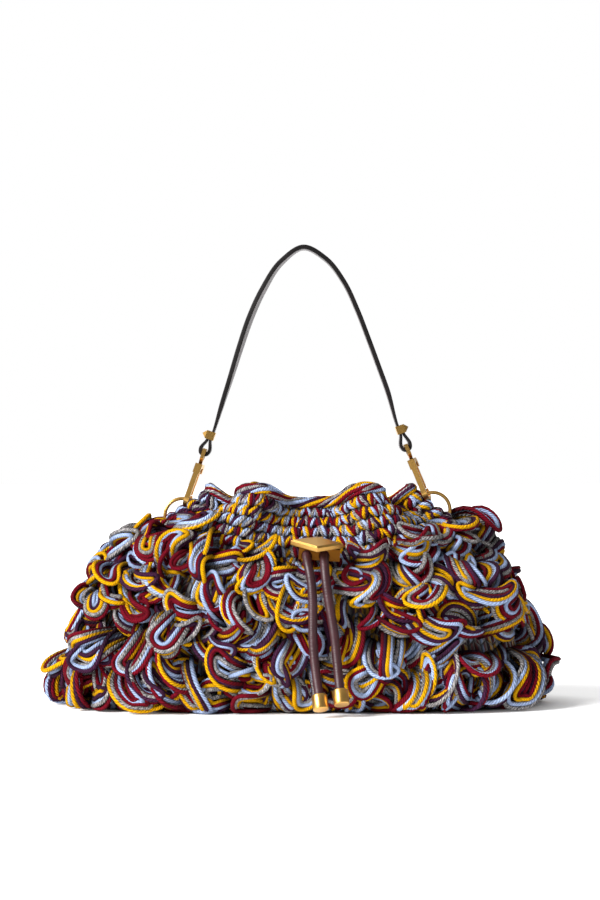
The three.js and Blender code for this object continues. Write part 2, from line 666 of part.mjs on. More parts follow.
// Hook: collar, spine at the front, bend, nose at the back, and two ears with the gate's pin. Below the
// ears it is slimmer.
function hookGeometry() {
  const outline = new THREE.Shape();
  outline.moveTo(-COLLAR.topHalfWidth, HOOK_TOP);
  outline.lineTo(COLLAR.topHalfWidth, HOOK_TOP);
  outline.lineTo(EAR.outer, COLLAR.edge);
  outline.lineTo(EAR.outer, EAR.bottom);
  outline.lineTo(EAR.inner, EAR.bottom);
  outline.lineTo(EAR.inner, COLLAR.bottom);
  outline.lineTo(-HOOK_INNER, COLLAR.bottom);
  outline.lineTo(-HOOK_INNER, BEND_MIDDLE);
  outline.absarc(0, BEND_MIDDLE, HOOK_INNER, Math.PI, 2 * Math.PI, false);
  outline.lineTo(HOOK_INNER, NOSE_TOP);
  outline.lineTo(EAR.outer, NOSE_TOP);
  outline.lineTo(HOOK_OUTER, BEND_MIDDLE);
  outline.absarc(0, BEND_MIDDLE, HOOK_OUTER, 0, -Math.PI, true);
  const holeLength = 3 * (HOOK_TOP - COLLAR.bottom);
  const stemHole = new THREE.CylinderGeometry(STEM_HOLE, STEM_HOLE, holeLength, 12).rotateX(Math.PI / 2);
  const slotHeight = 2 * (EAR.slotTop - EAR.bottom);
  const earSlot = new THREE.BoxGeometry(GATE.thickness + 2 * GAP, EAR.slotDepth, slotHeight);
  const pin = new THREE.CylinderGeometry(PIN_RADIUS, PIN_RADIUS, HOOK_THICKNESS, 8).rotateZ(Math.PI / 2);
  const waste = (side) => {
    const box = new THREE.BoxGeometry(HOOK_THICKNESS, 3 * HOOK_OUTER, -2 * BEND_MIDDLE);
    const across = (side * (HOOK_SLIM + HOOK_THICKNESS)) / 2;
    return toSolid(box.translate(across, 0, EAR.bottom + BEND_MIDDLE));
  };
  const solid = toSolid(plateAcross(outline, HOOK_THICKNESS))
    .subtract(waste(-1))
    .subtract(waste(1))
    .subtract(toSolid(stemHole.translate(0, 0, (HOOK_TOP + COLLAR.bottom) / 2)))
    .subtract(toSolid(earSlot.translate(0, EAR.slotY, EAR.bottom)))
    .add(toSolid(pin.translate(0, PIVOT.y, PIVOT.z)));
  return toGeometry(solid);
}

// Gate: a straight bar on the pin, which swings inwards and is sprung shut against the nose.
function gateGeometry() {
  const outline = new THREE.Shape();
  const shoulder = Math.asin(GATE.halfWidth / KNUCKLE_RADIUS);
  outline.absarc(0, 0, KNUCKLE_RADIUS, -Math.PI / 2 + shoulder, (3 * Math.PI) / 2 - shoulder, false);
  outline.lineTo(-GATE.halfWidth, GATE.tip - PIVOT.z);
  outline.lineTo(GATE.halfWidth, GATE.tip - PIVOT.z);
  const pinHole = new THREE.Path();
  pinHole.absarc(0, 0, PIN_HOLE, 0, 2 * Math.PI, true);
  outline.holes.push(pinHole);
  return plateAcross(outline, GATE.thickness).translate(0, PIVOT.y, PIVOT.z);
}

for (const end of HANDLE_ENDS) {
  const keeper = addMesh(bag, `strap_keeper_${end.side}`, keeperGeometry(end.out), antiqueGold);
  keeper.position.copy(upright(...end.keeper));
  keeper.rotation.y = THREE.MathUtils.degToRad(end.strapLean);

  const hanger = new THREE.Group();
  hanger.position.copy(upright(...end.eye));
  hanger.rotation.y = THREE.MathUtils.degToRad(end.hookLean);
  bag.add(hanger);
  addMesh(hanger, `swivel_eye_${end.side}`, merged(eyeGeometry()), antiqueGold);

  const swivel = new THREE.Group();
  swivel.rotation.z = THREE.MathUtils.degToRad(end.turn);
  hanger.add(swivel);
  addMesh(swivel, `hook_${end.side}`, hookGeometry(), antiqueGold);
  addMesh(swivel, `hook_gate_${end.side}`, merged(gateGeometry()), antiqueGold);

  const ring = addMesh(bag, `shoulder_ring_${end.side}`, merged(ringGeometry(RING_WIRE)), antiqueGold);
  ring.position.copy(ringMiddle(end));
}

export default bag;
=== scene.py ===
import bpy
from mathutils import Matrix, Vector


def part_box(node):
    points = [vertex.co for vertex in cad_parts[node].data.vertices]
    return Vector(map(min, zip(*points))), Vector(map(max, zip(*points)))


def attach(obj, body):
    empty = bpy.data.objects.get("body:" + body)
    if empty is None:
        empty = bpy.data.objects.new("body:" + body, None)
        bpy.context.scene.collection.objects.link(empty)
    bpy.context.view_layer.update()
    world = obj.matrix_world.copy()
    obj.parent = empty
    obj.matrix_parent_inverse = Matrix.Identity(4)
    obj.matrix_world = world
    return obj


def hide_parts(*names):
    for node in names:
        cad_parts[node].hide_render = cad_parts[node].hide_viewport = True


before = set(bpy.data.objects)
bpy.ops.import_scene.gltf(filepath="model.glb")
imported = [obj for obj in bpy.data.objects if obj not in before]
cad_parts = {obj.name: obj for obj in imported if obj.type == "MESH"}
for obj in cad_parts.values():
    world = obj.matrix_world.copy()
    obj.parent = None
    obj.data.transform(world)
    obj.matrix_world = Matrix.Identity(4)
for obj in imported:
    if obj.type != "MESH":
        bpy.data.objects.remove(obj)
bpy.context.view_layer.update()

import math

import bpy
import numpy as np

# Studio: a white room, brightest high up behind the bag on the left, and one large soft lamp in front on the
# left. The pale floor starts between the camera and the bag and glows except close round the bag, so that
# shadows stay faint. The camera stands a long way off, level with the foot of the handle.
CAMERA_AT = (0, -1.5, 0.1693)
CAMERA_LENS = 89.6
CAMERA_SENSOR = 36
ROOM_LIGHT = (0.21, 0.75)
ROOM_FADE = (-0.1, 0.8)
BRIGHT_SIDE = (-0.4, 0.68, 0.61)
LAMP_STRENGTH = 5.6
LAMP_SOFTNESS = math.radians(26)
LAMP_TURN = (math.radians(28), math.radians(-54), 0)
FLOOR_SIZE = 10
FLOOR_FRONT = -0.7
FLOOR_COLOUR = (0.93, 0.93, 0.93, 1)
FLOOR_GLOW = 0.4
BAG_SHADOW = (0.155, 0.065)
SHADOW_FADE = (1.0, 1.4)

scene = bpy.context.scene
scene.view_settings.view_transform = "Standard"


def linked(name, data):
    made = bpy.data.objects.new(name, data)
    scene.collection.objects.link(made)
    return made


camera = linked("camera", bpy.data.cameras.new("camera"))
camera.location = CAMERA_AT
camera.rotation_euler = (math.pi / 2, 0, 0)
camera.data.lens = CAMERA_LENS
camera.data.sensor_width = CAMERA_SENSOR
scene.camera = camera

lamp = linked("lamp", bpy.data.lights.new("lamp", "SUN"))
lamp.data.energy = LAMP_STRENGTH
lamp.data.angle = LAMP_SOFTNESS
lamp.rotation_euler = LAMP_TURN

bpy.ops.mesh.primitive_plane_add(size=FLOOR_SIZE, location=(0, FLOOR_FRONT + FLOOR_SIZE / 2, 0))
floor = bpy.context.object
floor.name = "floor"


def node(tree, kind, inputs=None, **settings):
    """A shader node with its settings. An input is a value or another node's output."""
    made = tree.nodes.new(kind)
    for name, value in settings.items():
        setattr(made, name, value)
    for key, value in (inputs or {}).items():
        if isinstance(value, bpy.types.NodeSocket):
            tree.links.new(value, made.inputs[key])
        else:
            made.inputs[key].default_value = value
    return made


def calc(tree, operation, *values):
    return node(tree, "ShaderNodeMath", dict(enumerate(values)), operation=operation).outputs[0]


def ranged(tree, value, source=(0.0, 1.0), result=(0.0, 1.0), way="LINEAR"):
    """A value's range stretched to another one, and held at its ends."""
    inputs = {0: value, 1: source[0], 2: source[1], 3: result[0], 4: result[1]}
    return node(tree, "ShaderNodeMapRange", inputs, interpolation_type=way).outputs[0]


def finish_of(name, **sockets):
    """A new material, with plain numbers and colours on its shader. Gives the material and its tree."""
    material = bpy.data.materials.new(name)
    material.use_nodes = True
    shader = material.node_tree.nodes["Principled BSDF"]
    for key, value in sockets.items():
        shader.inputs[key.replace("_", " ")].default_value = value
    return material, material.node_tree


def feed(tree, **sockets):
    """Joins colours, values or normals to the material's shader."""
    shader = tree.nodes["Principled BSDF"]
    for key, value in sockets.items():
        tree.links.new(value, shader.inputs[key.replace("_", " ")])


room = bpy.data.worlds.new("room")
room.use_nodes = True
scene.world = room
tree = room.node_tree
towards = node(tree, "ShaderNodeTexCoord").outputs["Generated"]
brightness = node(tree, "ShaderNodeVectorMath", {0: towards, 1: BRIGHT_SIDE}, operation="DOT_PRODUCT")
glow = ranged(tree, brightness.outputs["Value"], ROOM_FADE, ROOM_LIGHT)
in_view = node(tree, "ShaderNodeLightPath").outputs["Is Camera Ray"]
background = tree.nodes["Background"]
background.inputs["Color"].default_value = (1, 1, 1, 1)
tree.links.new(calc(tree, "MAXIMUM", in_view, glow), background.inputs["Strength"])

floor_finish, tree = finish_of(
    "pale_floor", Base_Color=FLOOR_COLOUR, Roughness=0.9, Emission_Color=(1, 1, 1, 1)
)
spot = node(tree, "ShaderNodeNewGeometry").outputs["Position"]
across_shadow = (1 / BAG_SHADOW[0], 1 / BAG_SHADOW[1], 0)
spot = node(tree, "ShaderNodeVectorMath", {0: spot, 1: across_shadow}, operation="MULTIPLY").outputs[0]
away = node(tree, "ShaderNodeVectorMath", {0: spot}, operation="LENGTH").outputs["Value"]
feed(tree, Emission_Strength=ranged(tree, away, SHADOW_FADE, (0.0, FLOOR_GLOW)))
floor.data.materials.append(floor_finish)

# Drawcord ends: two free ends of a round cord sewn from oxblood leather, which gathers the bag's mouth.
# They come out of the toggle's block, hang down the front and end in turned caps plated in aged gold.
# A route's points and a cap's profile, radius and height, are in millimetres.
MM = 0.001
CORD_RADIUS = 3 * MM
CORD_ROUTES = {
    "left": [
        (4.2, -54.6, 102.6), (4.4, -58.2, 99.6), (5.2, -62.0, 95.4), (6.4, -65.2, 89.8),
        (7.4, -67.4, 83.0), (8.0, -69.0, 75.6), (8.2, -70.4, 68.2), (8.2, -71.6, 60.8),
        (8.2, -72.8, 53.2), (8.4, -74.0, 45.4), (9.0, -75.4, 37.6), (9.8, -77.2, 30.0),
        (10.8, -79.6, 22.6), (11.9, -82.6, 15.6), (12.6, -85.0, 10.5),
    ],
    "right": [
        (15.6, -54.6, 102.6), (15.6, -58.2, 99.6), (15.8, -62.0, 95.4), (16.2, -65.2, 89.8),
        (17.0, -67.4, 83.0), (18.0, -69.0, 75.6), (19.2, -70.4, 68.2), (20.4, -71.6, 60.8),
        (21.6, -72.8, 53.4), (22.5, -74.0, 46.2), (23.2, -75.4, 39.0), (23.9, -77.2, 32.0),
        (24.5, -79.6, 25.2), (25.2, -82.6, 18.6), (25.8, -85.0, 13.7),
    ],
}
CORD_LENGTHS = {"left": 0.099, "right": 0.096}
CORD_STATIONS = 500
CORD_SIDES = 16
RIB_COUNT = 82
RIB_DEPTH = 0.15 * MM
RIB_GROOVE = 0.34 * MM
RIB_UNEVEN = {"place": (0.2, 0.8), "depth": (0.25, 1)}
CAP_SOCKET = 4 * MM
CAP_PROFILE = [
    (3.25, 3), (3.25, 0.5), (3.7, 0), (4.4, 0), (4.85, 0.15), (5, 0.6),
    (5, 9.2), (4.85, 9.65), (4.4, 9.8), (3.4, 9.8),
]
CAP_SIDES = 44
CAP_EDGE = 0.15 * MM
CURVE_STEPS = 60


def run_along(points):
    """The length run along a line at each of its points."""
    return np.r_[0, np.cumsum(np.linalg.norm(np.diff(points, axis=0), axis=1))]


def smooth_line(points, stations):
    """Even stations along a smooth curve through listed points, in any number of dimensions."""
    points = np.asarray(points, float)
    steps = run_along(points)
    slopes = np.gradient(points, steps, axis=0)
    dense = np.linspace(0, steps[-1], CURVE_STEPS * len(points))
    k = np.clip(np.searchsorted(steps, dense, side="right") - 1, 0, len(steps) - 2)
    span = (steps[k + 1] - steps[k])[:, None]
    t = (dense - steps[k])[:, None] / span
    line = (
        (1 + 2 * t) * (1 - t) ** 2 * points[k]
        + t * (1 - t) ** 2 * span * slopes[k]
        + t**2 * (3 - 2 * t) * points[k + 1]
        + t**2 * (t - 1) * span * slopes[k + 1]
    )
    lengths = run_along(line)
    even = np.linspace(0, lengths[-1], stations)
    return np.stack([np.interp(even, lengths, column) for column in line.T], 1)


def unit(vectors):
    return vectors / np.linalg.norm(vectors, axis=-1, keepdims=True)


def mesh_object(name, points, faces, corner_map):
    """An object from arrays: points, groups of faces with equal corner counts, and a map for all corners."""
    mesh = bpy.data.meshes.new(name)
    corners = np.concatenate([group.ravel() for group in faces]).astype(np.int32)
    sizes = np.concatenate([np.full(len(group), group.shape[1]) for group in faces])
    mesh.vertices.add(len(points))
    mesh.vertices.foreach_set("co", points.astype(np.float32).ravel())
    mesh.loops.add(len(corners))
    mesh.loops.foreach_set("vertex_index", corners)
    mesh.polygons.add(len(sizes))
    mesh.polygons.foreach_set("loop_start", (np.cumsum(sizes) - sizes).astype(np.int32))
    mesh.polygons.foreach_set("use_smooth", np.ones(len(sizes), bool))
    layer = mesh.uv_layers.new(name="OFBake")
    layer.uv.foreach_set("vector", corner_map.astype(np.float32).ravel())
    mesh.update(calc_edges=True)
    mesh.validate()
    return linked(name, mesh)


def ringed(name, rings, rows=None, looped=False):
    """An object from rings of points joined one to the next, with closed ends or with its last ring joined
    to its first. rows gives each ring's place up the map."""
    count, sides = rings.shape[:2]
    if rows is None:
        rows = np.linspace(0, 1, count + looped)
    level, k = np.meshgrid(np.arange(count - 1 + looped), np.arange(sides), indexing="ij")
    here = level * sides
    above = (level + 1) % count * sides
    beside = (k + 1) % sides
    faces = [np.stack([here + k, here + beside, above + beside, above + k], -1).reshape(-1, 4)]
    around = np.stack([k, k + 1, k + 1, k], -1) / sides
    along = np.stack([rows[level], rows[level], rows[level + 1], rows[level + 1]], -1)
    corner_map = np.stack([around, along], -1).reshape(-1, 2)
    if not looped:
        faces += [np.arange(sides)[None, ::-1], (count - 1) * sides + np.arange(sides)[None]]
        ends = np.repeat([[0.5, rows[0]], [0.5, rows[-1]]], sides, axis=0)
        corner_map = np.concatenate([corner_map, ends])
    return mesh_object(name, rings.reshape(-1, 3), faces, corner_map)


def turned(name, profile, sides, start, way):
    """A piece with one profile all round an axis. The profile's radii and heights are in millimetres."""
    way = unit(np.asarray(way, float))
    side = unit(np.cross(way, (1, 0, 0)))
    angles = 2 * np.pi * np.arange(sides) / sides
    ring = np.cos(angles)[:, None] * side + np.sin(angles)[:, None] * np.cross(way, side)
    return ringed(name, np.stack([start + MM * (height * way + radius * ring) for radius, height in profile]))


def sweep(lines, radii, sides):
    """Tubes along many lines at once, each closed at both ends. Gives points, faces and corner places.

    lines has the shape (tubes, stations, 3) and radii (tubes, stations). A corner's place is its tube, its
    share of the way along it and its share of the way round it.
    """
    tubes, stations, _ = lines.shape
    ways = unit(np.gradient(lines, axis=1))
    least = np.eye(3)[np.abs(ways[:, 0]).argmin(axis=1)]
    side = unit(np.cross(ways[:, 0], least))
    across = np.empty_like(lines)
    for station in range(stations):
        way = ways[:, station]
        side = unit(side - (side * way).sum(1, keepdims=True) * way)
        across[:, station] = side
    beside = np.cross(ways, across)
    angles = 2 * np.pi * np.arange(sides) / sides
    ring = np.cos(angles)[:, None] * across[:, :, None] + np.sin(angles)[:, None] * beside[:, :, None]
    points = lines[:, :, None] + radii[:, :, None, None] * ring
    tube, station, k = np.meshgrid(np.arange(tubes), np.arange(stations - 1), np.arange(sides), indexing="ij")

    def number(s, corner):
        return (tube * stations + s) * sides + corner % sides

    quads = np.stack(
        [number(station, k), number(station, k + 1), number(station + 1, k + 1), number(station + 1, k)], -1
    )
    start = np.arange(tubes)[:, None] * stations * sides + np.arange(sides)[::-1]
    end = (np.arange(tubes)[:, None] * stations + stations - 1) * sides + np.arange(sides)
    along = np.stack([station, station, station + 1, station + 1], -1) / (stations - 1)
    around = np.stack([k, k + 1, k + 1, k], -1) / sides
    owner = np.broadcast_to(tube[..., None], along.shape)
    places = np.stack([owner, along, around], -1).reshape(-1, 3)
    ends = np.zeros((tubes * sides, 3))
    ends[:, 0] = np.repeat(np.arange(tubes), sides)
    ends[:, 2] = 0.5
    far_ends = ends + np.array([0, 1, 0])
    return points.reshape(-1, 3), [quads.reshape(-1, 4), start, end], np.concatenate([places, ends, far_ends])


def ribbed(lengths, rng):
    """How far a cord's skin draws in at each station: narrow grooves across it, a little unevenly spaced."""
    middles = np.arange(RIB_COUNT) + rng.uniform(*RIB_UNEVEN["place"], RIB_COUNT)
    middles = lengths[-1] * middles / RIB_COUNT
    depths = RIB_DEPTH * rng.uniform(*RIB_UNEVEN["depth"], RIB_COUNT)
    away = (lengths[:, None] - middles) / RIB_GROOVE
    return (depths * np.exp(-(away**2))).max(axis=1)


def paint(red, green, blue):
    """A colour written in screen values from 0 to 255, as light."""
    parts = [value / 255 for value in (red, green, blue)]
    light = [p / 12.92 if p < 0.04045 else ((p + 0.055) / 1.055) ** 2.4 for p in parts]
    return (*light, 1)


OXBLOOD = (paint(50, 19, 25), paint(64, 28, 34))
GOLD = paint(226, 178, 98)
# The tarnish colour. Laid on fully on the toggle's block, it is painted shade.
TARNISH_AND_SHADE_COLOUR = paint(112, 70, 22)
CLOUDS_PER_METRE = 90.0
LEATHER_DRIFT = (0.35, 0.7)
LEATHER_BUMP = 0.6
TARNISH_CLOUDS = {"noise": (0.3, 0.75), "share": (0.25, 1.0)}
TARNISH_DULLS = 0.08
HAIRLINES_PER_METRE = (400, 400, 2200)
HAIRLINES_DULL = 0.05
HAIRLINE_DEPTH = 0.005 * MM


def finish_group(name, asked, given):
    """A new shader node group with number inputs. Gives its tree, its inputs and its outputs."""
    tree = bpy.data.node_groups.new(name, "ShaderNodeTree")
    for label in asked:
        tree.interface.new_socket(label, in_out="INPUT", socket_type="NodeSocketFloat")
    for label in given:
        kind = "NodeSocketColor" if label == "Colour" else "NodeSocketFloat"
        tree.interface.new_socket(label, in_out="OUTPUT", socket_type=kind)
    return tree, node(tree, "NodeGroupInput").outputs, node(tree, "NodeGroupOutput").inputs


def mixed(tree, share, first, second, way="MIX"):
    """Two colours mixed by a share."""
    made = node(tree, "ShaderNodeMix", {0: share, 6: first, 7: second}, data_type="RGBA", blend_type=way)
    return made.outputs[2]


def noise(tree, place, scale, detail):
    inputs = {"Vector": place, "Scale": scale, "Detail": detail}
    return node(tree, "ShaderNodeTexNoise", inputs).outputs["Fac"]


def bumped(tree, height, depth, strength=1.0):
    """A surface that follows a height."""
    inputs = {"Height": height, "Distance": depth, "Strength": strength}
    return node(tree, "ShaderNodeBump", inputs).outputs[0]


def leather_group():
    """Leather: fine pebbles with creases between them, and a slow drift of tone."""
    tree, asked, given = finish_group("leather_grain", ["Pebbles per metre"], ["Height", "Tone"])
    place = node(tree, "ShaderNodeTexCoord").outputs["Object"]
    spread = {"Vector": place, "Scale": asked["Pebbles per metre"]}
    pebbles = node(tree, "ShaderNodeTexVoronoi", spread, feature="SMOOTH_F1")
    tree.links.new(pebbles.outputs["Distance"], given["Height"])
    tree.links.new(noise(tree, place, CLOUDS_PER_METRE, detail=4.0), given["Tone"])
    return tree


leather_grain = leather_group()


def leather(name, tones, pebbles, depth, shine, **sockets):
    """Leather of two tones with a grain of its own size. shine gives its least and greatest roughness."""
    material, tree = finish_of(name, **sockets)
    grain = node(tree, "ShaderNodeGroup", {"Pebbles per metre": pebbles}, node_tree=leather_grain).outputs
    colour = mixed(tree, ranged(tree, grain["Tone"], LEATHER_DRIFT), *tones)
    rough = ranged(tree, grain["Tone"], result=shine)
    feed(
        tree, Base_Color=colour, Roughness=rough,
        Normal=bumped(tree, grain["Height"], depth, LEATHER_BUMP),
    )
    return material


def gold_group():
    """Aged gold plating: clouded tarnish, and hairline scratches in its shine. The tarnish colour laid on
    fully serves as painted shade.
    """
    tree, asked, given = finish_group("aged_gold", ["Tarnish and shade", "Satin"], ["Colour", "Roughness", "Height"])
    place = node(tree, "ShaderNodeTexCoord").outputs["Object"]
    stretched = node(tree, "ShaderNodeMapping", {"Vector": place, "Scale": HAIRLINES_PER_METRE}).outputs[0]
    hairlines = noise(tree, stretched, 1.0, detail=2.0)
    clouds = noise(tree, place, CLOUDS_PER_METRE, detail=3.0)
    clouds = ranged(tree, clouds, TARNISH_CLOUDS["noise"], TARNISH_CLOUDS["share"])
    share = calc(tree, "MULTIPLY", clouds, asked["Tarnish and shade"])
    dulled = calc(tree, "MULTIPLY_ADD", share, TARNISH_DULLS, asked["Satin"])
    tree.links.new(mixed(tree, share, GOLD, TARNISH_AND_SHADE_COLOUR), given["Colour"])
    tree.links.new(calc(tree, "MULTIPLY_ADD", hairlines, HAIRLINES_DULL, dulled), given["Roughness"])
    tree.links.new(hairlines, given["Height"])
    return tree


aged_gold = gold_group()


def gold(name, tarnish_and_shade, satin):
    """Gold plating: how much of it is tarnished (on the toggle's block, painted dark all over as shade), and
    the roughness of its clean metal.
    """
    material, tree = finish_of(name, Metallic=1.0)
    plating = node(tree, "ShaderNodeGroup", {"Tarnish and shade": tarnish_and_shade, "Satin": satin}, node_tree=aged_gold).outputs
    feed(
        tree, Base_Color=plating["Colour"], Roughness=plating["Roughness"],
        Normal=bumped(tree, plating["Height"], HAIRLINE_DEPTH),
    )
    return material


def dressed(piece, material, solid):
    """Gives a piece of the bag its material, and lets it stand for its solid."""
    piece.data.materials.append(material)
    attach(piece, "root")
    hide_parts(solid)


oxblood = leather(
    "oxblood_leather", OXBLOOD, pebbles=1500.0, depth=0.06 * MM, shine=(0.38, 0.52), Specular_IOR_Level=0.5
)
cap_gold = gold("cap_gold", tarnish_and_shade=0.15, satin=0.3)
for side_name, route in CORD_ROUTES.items():
    rng = np.random.default_rng(len(side_name))
    line = smooth_line(np.array(route) * MM, CORD_STATIONS)
    lengths = np.linspace(0, CORD_LENGTHS[side_name], CORD_STATIONS)
    radii = CORD_RADIUS - ribbed(lengths, rng)
    points, faces, places = sweep(line[None], radii[None], CORD_SIDES)
    cord = mesh_object(f"drawcord_end_{side_name}", points, faces, places[:, 1:])
    dressed(cord, oxblood, f"drawcord_{side_name}")
    way = unit(line[-1] - line[-2])
    cap = turned(f"turned_cap_{side_name}", CAP_PROFILE, CAP_SIDES, line[-1] - CAP_SOCKET * way, way)
    dressed(cap, cap_gold, f"cord_cap_{side_name}")
    edges = cap.modifiers.new("soft_edges", "BEVEL")
    edges.width = CAP_EDGE
    edges.segments = 2

# Pouch: one piece of crocheted cloth worked in the round from a flat oval base, wide and slouchy below
# and gathered into six pleats at the mouth. Each level gives, in millimetres, the outline's half width and
# half depth, the pleats' depth, the rim's rise on a pleat and the lean to the right, and how square it is.
LEVELS = {
    "z": (0, 4, 14, 30, 48, 68, 86, 100, 112, 121.7, 129.3, 133.8, 136.6, 139.4),
    "half_width": (136, 143, 147, 146, 141.5, 135, 127, 117.5, 104.5, 89, 74.5, 66, 65, 62),
    "half_depth": (47, 54, 58, 59, 57, 53, 47, 42, 37, 33.5, 31, 29.5, 29.5, 28),
    "square": (2.7, 2.7, 2.7, 2.7, 2.6, 2.5, 2.4, 2.3, 2.2, 2.2, 2.2, 2.2, 2.2, 2.2),
    "pleat": (0, 0, 0, 0, 0, 0, 0.5, 2.5, 5, 9, 12, 13, 13, 13),
    "rise": (0, 0, 0, 0, 0, 0, 0, 0.5, 1, 2, 3.5, 4.5, 5, 5),
    "lean": (0, 0, 0, 0, 1, 2, 3, 3, 4, 5, 7, 7, 7, 7),
}
PLEATS = 6
PLEAT_BUNCHING = 0.25
FOLD_STEEPNESS = 1.8
SIDE_PLEAT = 0.45
WALL = 4.5 * MM
WALL_PLACES = 224
WALL_LEVELS = 70
OUTLINE_POINTS = 1441
BASE_RINGS = (0.03, 0.2, 0.4, 0.6, 0.8, 0.93)
TOP_ROUND = 1.2 * MM
TOP_SHARES = (0.25, 0.75)
INSIDE_FOOT = 6
CLOTH_STITCHES = 72.0
CLOTH_ROWS = 74.0
CLOTH_RELIEF = 2.2 * MM
# Painted shade on the cloth: its colour is kept to between 3% and 37%, darkest between the legs.
CLOTH_PAINTED_SHADE = (0.34, 0.03)
# The five yarns that are held together throughout, with how strongly each one is flecked.
YARNS = {
    "mustard": (paint(236, 172, 0), 0.28),
    "powder_blue": (paint(176, 196, 236), 0.28),
    "wine": (paint(116, 6, 28), 0.4),
    "plum": (paint(64, 28, 56), 0.5),
    "heather_grey": (paint(152, 148, 148), 1.0),
}


def wall_ring(z, half_width, half_depth, square, pleat, rise, lean):
    """One level of the wall, from the middle of the front and anticlockwise seen from above."""
    angle = np.linspace(-np.pi / 2, 1.5 * np.pi, OUTLINE_POINTS)
    wide, deep = np.cos(angle), np.sin(angle)
    x = half_width * np.sign(wide) * np.abs(wide) ** (2 / square)
    y = half_depth * np.sign(deep) * np.abs(deep) ** (2 / square)
    lengths = run_along(np.stack([x, y], 1))
    even = np.arange(WALL_PLACES) / WALL_PLACES
    x, y = (np.interp(even * lengths[-1], lengths, part) for part in (x, y))
    along = unit(np.stack([np.roll(x, -1) - np.roll(x, 1), np.roll(y, -1) - np.roll(y, 1)], 1))
    turn = 2 * np.pi * even
    depth = SIDE_PLEAT + (1 - SIDE_PLEAT) * (1 + np.cos(2 * turn)) / 2
    fold = PLEATS * turn - 2 * np.pi * PLEAT_BUNCHING * np.sin(2 * turn)
    wave = -np.tanh(FOLD_STEEPNESS * np.cos(fold))
    out = pleat * depth * wave
    return np.stack([x + along[:, 1] * out + lean, y - along[:, 0] * out, z + rise * wave], 1) * MM


def round_step(grid, span):
    """The change in a grid's values from some places before each place to as many after it."""
    return np.roll(grid, -span, axis=1) - np.roll(grid, span, axis=1)


levels = smooth_line(np.stack(list(LEVELS.values()), 1), WALL_LEVELS)
wall = np.stack([wall_ring(*level) for level in levels])
wall_along = unit(round_step(wall, 1))
wall_up = unit(np.gradient(wall, axis=0))
wall_normal = unit(np.cross(wall_along, wall_up))
wall_up = np.cross(wall_normal, wall_along)


def pouch_rings():
    """Rings of the cloth from the middle of its base, up the outside, over the rim and down the inside."""
    middle = wall[0].mean(axis=0)
    inner = wall - WALL * wall_normal
    inward = unit(wall_normal[-1] * np.array([1, 1, 0]))
    top = [wall[-1] + TOP_ROUND * wall_up[-1] - share * WALL * inward for share in TOP_SHARES]
    base = [middle + share * (wall[0] - middle) for share in BASE_RINGS]
    inside_base = [ring + np.array([0, 0, WALL]) for ring in base[::-1]]
    return np.stack([*base, *wall, *top, *inner[INSIDE_FOOT:][::-1], *inside_base])


def map_place(tree):
    """The place on a piece's own map, as X and Y."""
    place = node(tree, "ShaderNodeUVMap", uv_map="OFBake").outputs[0]
    return node(tree, "ShaderNodeSeparateXYZ", {0: place}).outputs


def yarn_ramp(tree, place):
    """Picks one of the five yarns by a value from 0 to 1. Alpha holds how strongly it is flecked."""
    ramp = node(tree, "ShaderNodeValToRGB", {0: place})
    ramp.color_ramp.interpolation = "CONSTANT"
    while len(ramp.color_ramp.elements) < len(YARNS):
        ramp.color_ramp.elements.new(0.5)
    for k, (colour, fleck) in enumerate(YARNS.values()):
        ramp.color_ramp.elements[k].position = k / len(YARNS)
        ramp.color_ramp.elements[k].color = (*colour[:3], fleck)
    return ramp.outputs


def plump(tree, value, fullness):
    """A round height over each whole step of a value."""
    aside = calc(tree, "SUBTRACT", calc(tree, "FRACT", value), 0.5)
    aside = calc(tree, "ABSOLUTE", calc(tree, "MULTIPLY", aside, 2.0))
    return calc(tree, "SUBTRACT", 1.0, calc(tree, "POWER", aside, fullness))


def crochet_group():
    """Rows of crochet in several yarns: slanting legs that meet in points, and a colour for each leg.
    Its colour carries painted shade: dark all over, as it lies in shade behind the loops and stitches, and
    darkest between the legs.
    """
    tree, asked, given = finish_group("crochet_rows", ["Stitches", "Rows"], ["Colour", "Height"])
    place = map_place(tree)
    across = calc(tree, "MULTIPLY", place["X"], calc(tree, "MULTIPLY", asked["Stitches"], 2.0))
    half = calc(tree, "FRACT", calc(tree, "MULTIPLY", across, 0.5))
    slant = calc(tree, "ABSOLUTE", calc(tree, "SUBTRACT", half, 0.5))
    up = calc(tree, "SUBTRACT", calc(tree, "MULTIPLY", place["Y"], asked["Rows"]), slant)
    height = calc(tree, "MULTIPLY", plump(tree, across, 2.0), plump(tree, up, 4.0))
    column = calc(tree, "FLOOR", calc(tree, "MULTIPLY", across, 2.0))
    strand = node(tree, "ShaderNodeCombineXYZ", {0: column, 1: calc(tree, "FLOOR", up)}).outputs[0]
    drawn = node(tree, "ShaderNodeTexWhiteNoise", {0: strand}, noise_dimensions="2D").outputs["Value"]
    # Painted shade: the cloth is coloured dark all over, and darkest where the legs dip.
    shade = calc(tree, "MULTIPLY_ADD", height, *CLOTH_PAINTED_SHADE)
    colour = mixed(tree, 1.0, yarn_ramp(tree, drawn)["Color"], shade, "MULTIPLY")
    tree.links.new(colour, given["Colour"])
    tree.links.new(height, given["Height"])
    return tree


cloth_finish, tree = finish_of("crochet_cloth", Roughness=0.95, Sheen_Weight=0.25, Sheen_Roughness=0.5)
gauge = {"Stitches": CLOTH_STITCHES, "Rows": CLOTH_ROWS}
crochet = node(tree, "ShaderNodeGroup", gauge, node_tree=crochet_group()).outputs
feed(tree, Base_Color=crochet["Colour"], Normal=bumped(tree, crochet["Height"], CLOTH_RELIEF))
cloth = pouch_rings()
risen = np.r_[0, np.cumsum(np.linalg.norm(np.diff(cloth, axis=0), axis=2).mean(axis=1))]
pouch = ringed("crocheted_pouch", cloth, risen / risen[-1])
dressed(pouch, cloth_finish, "pouch")

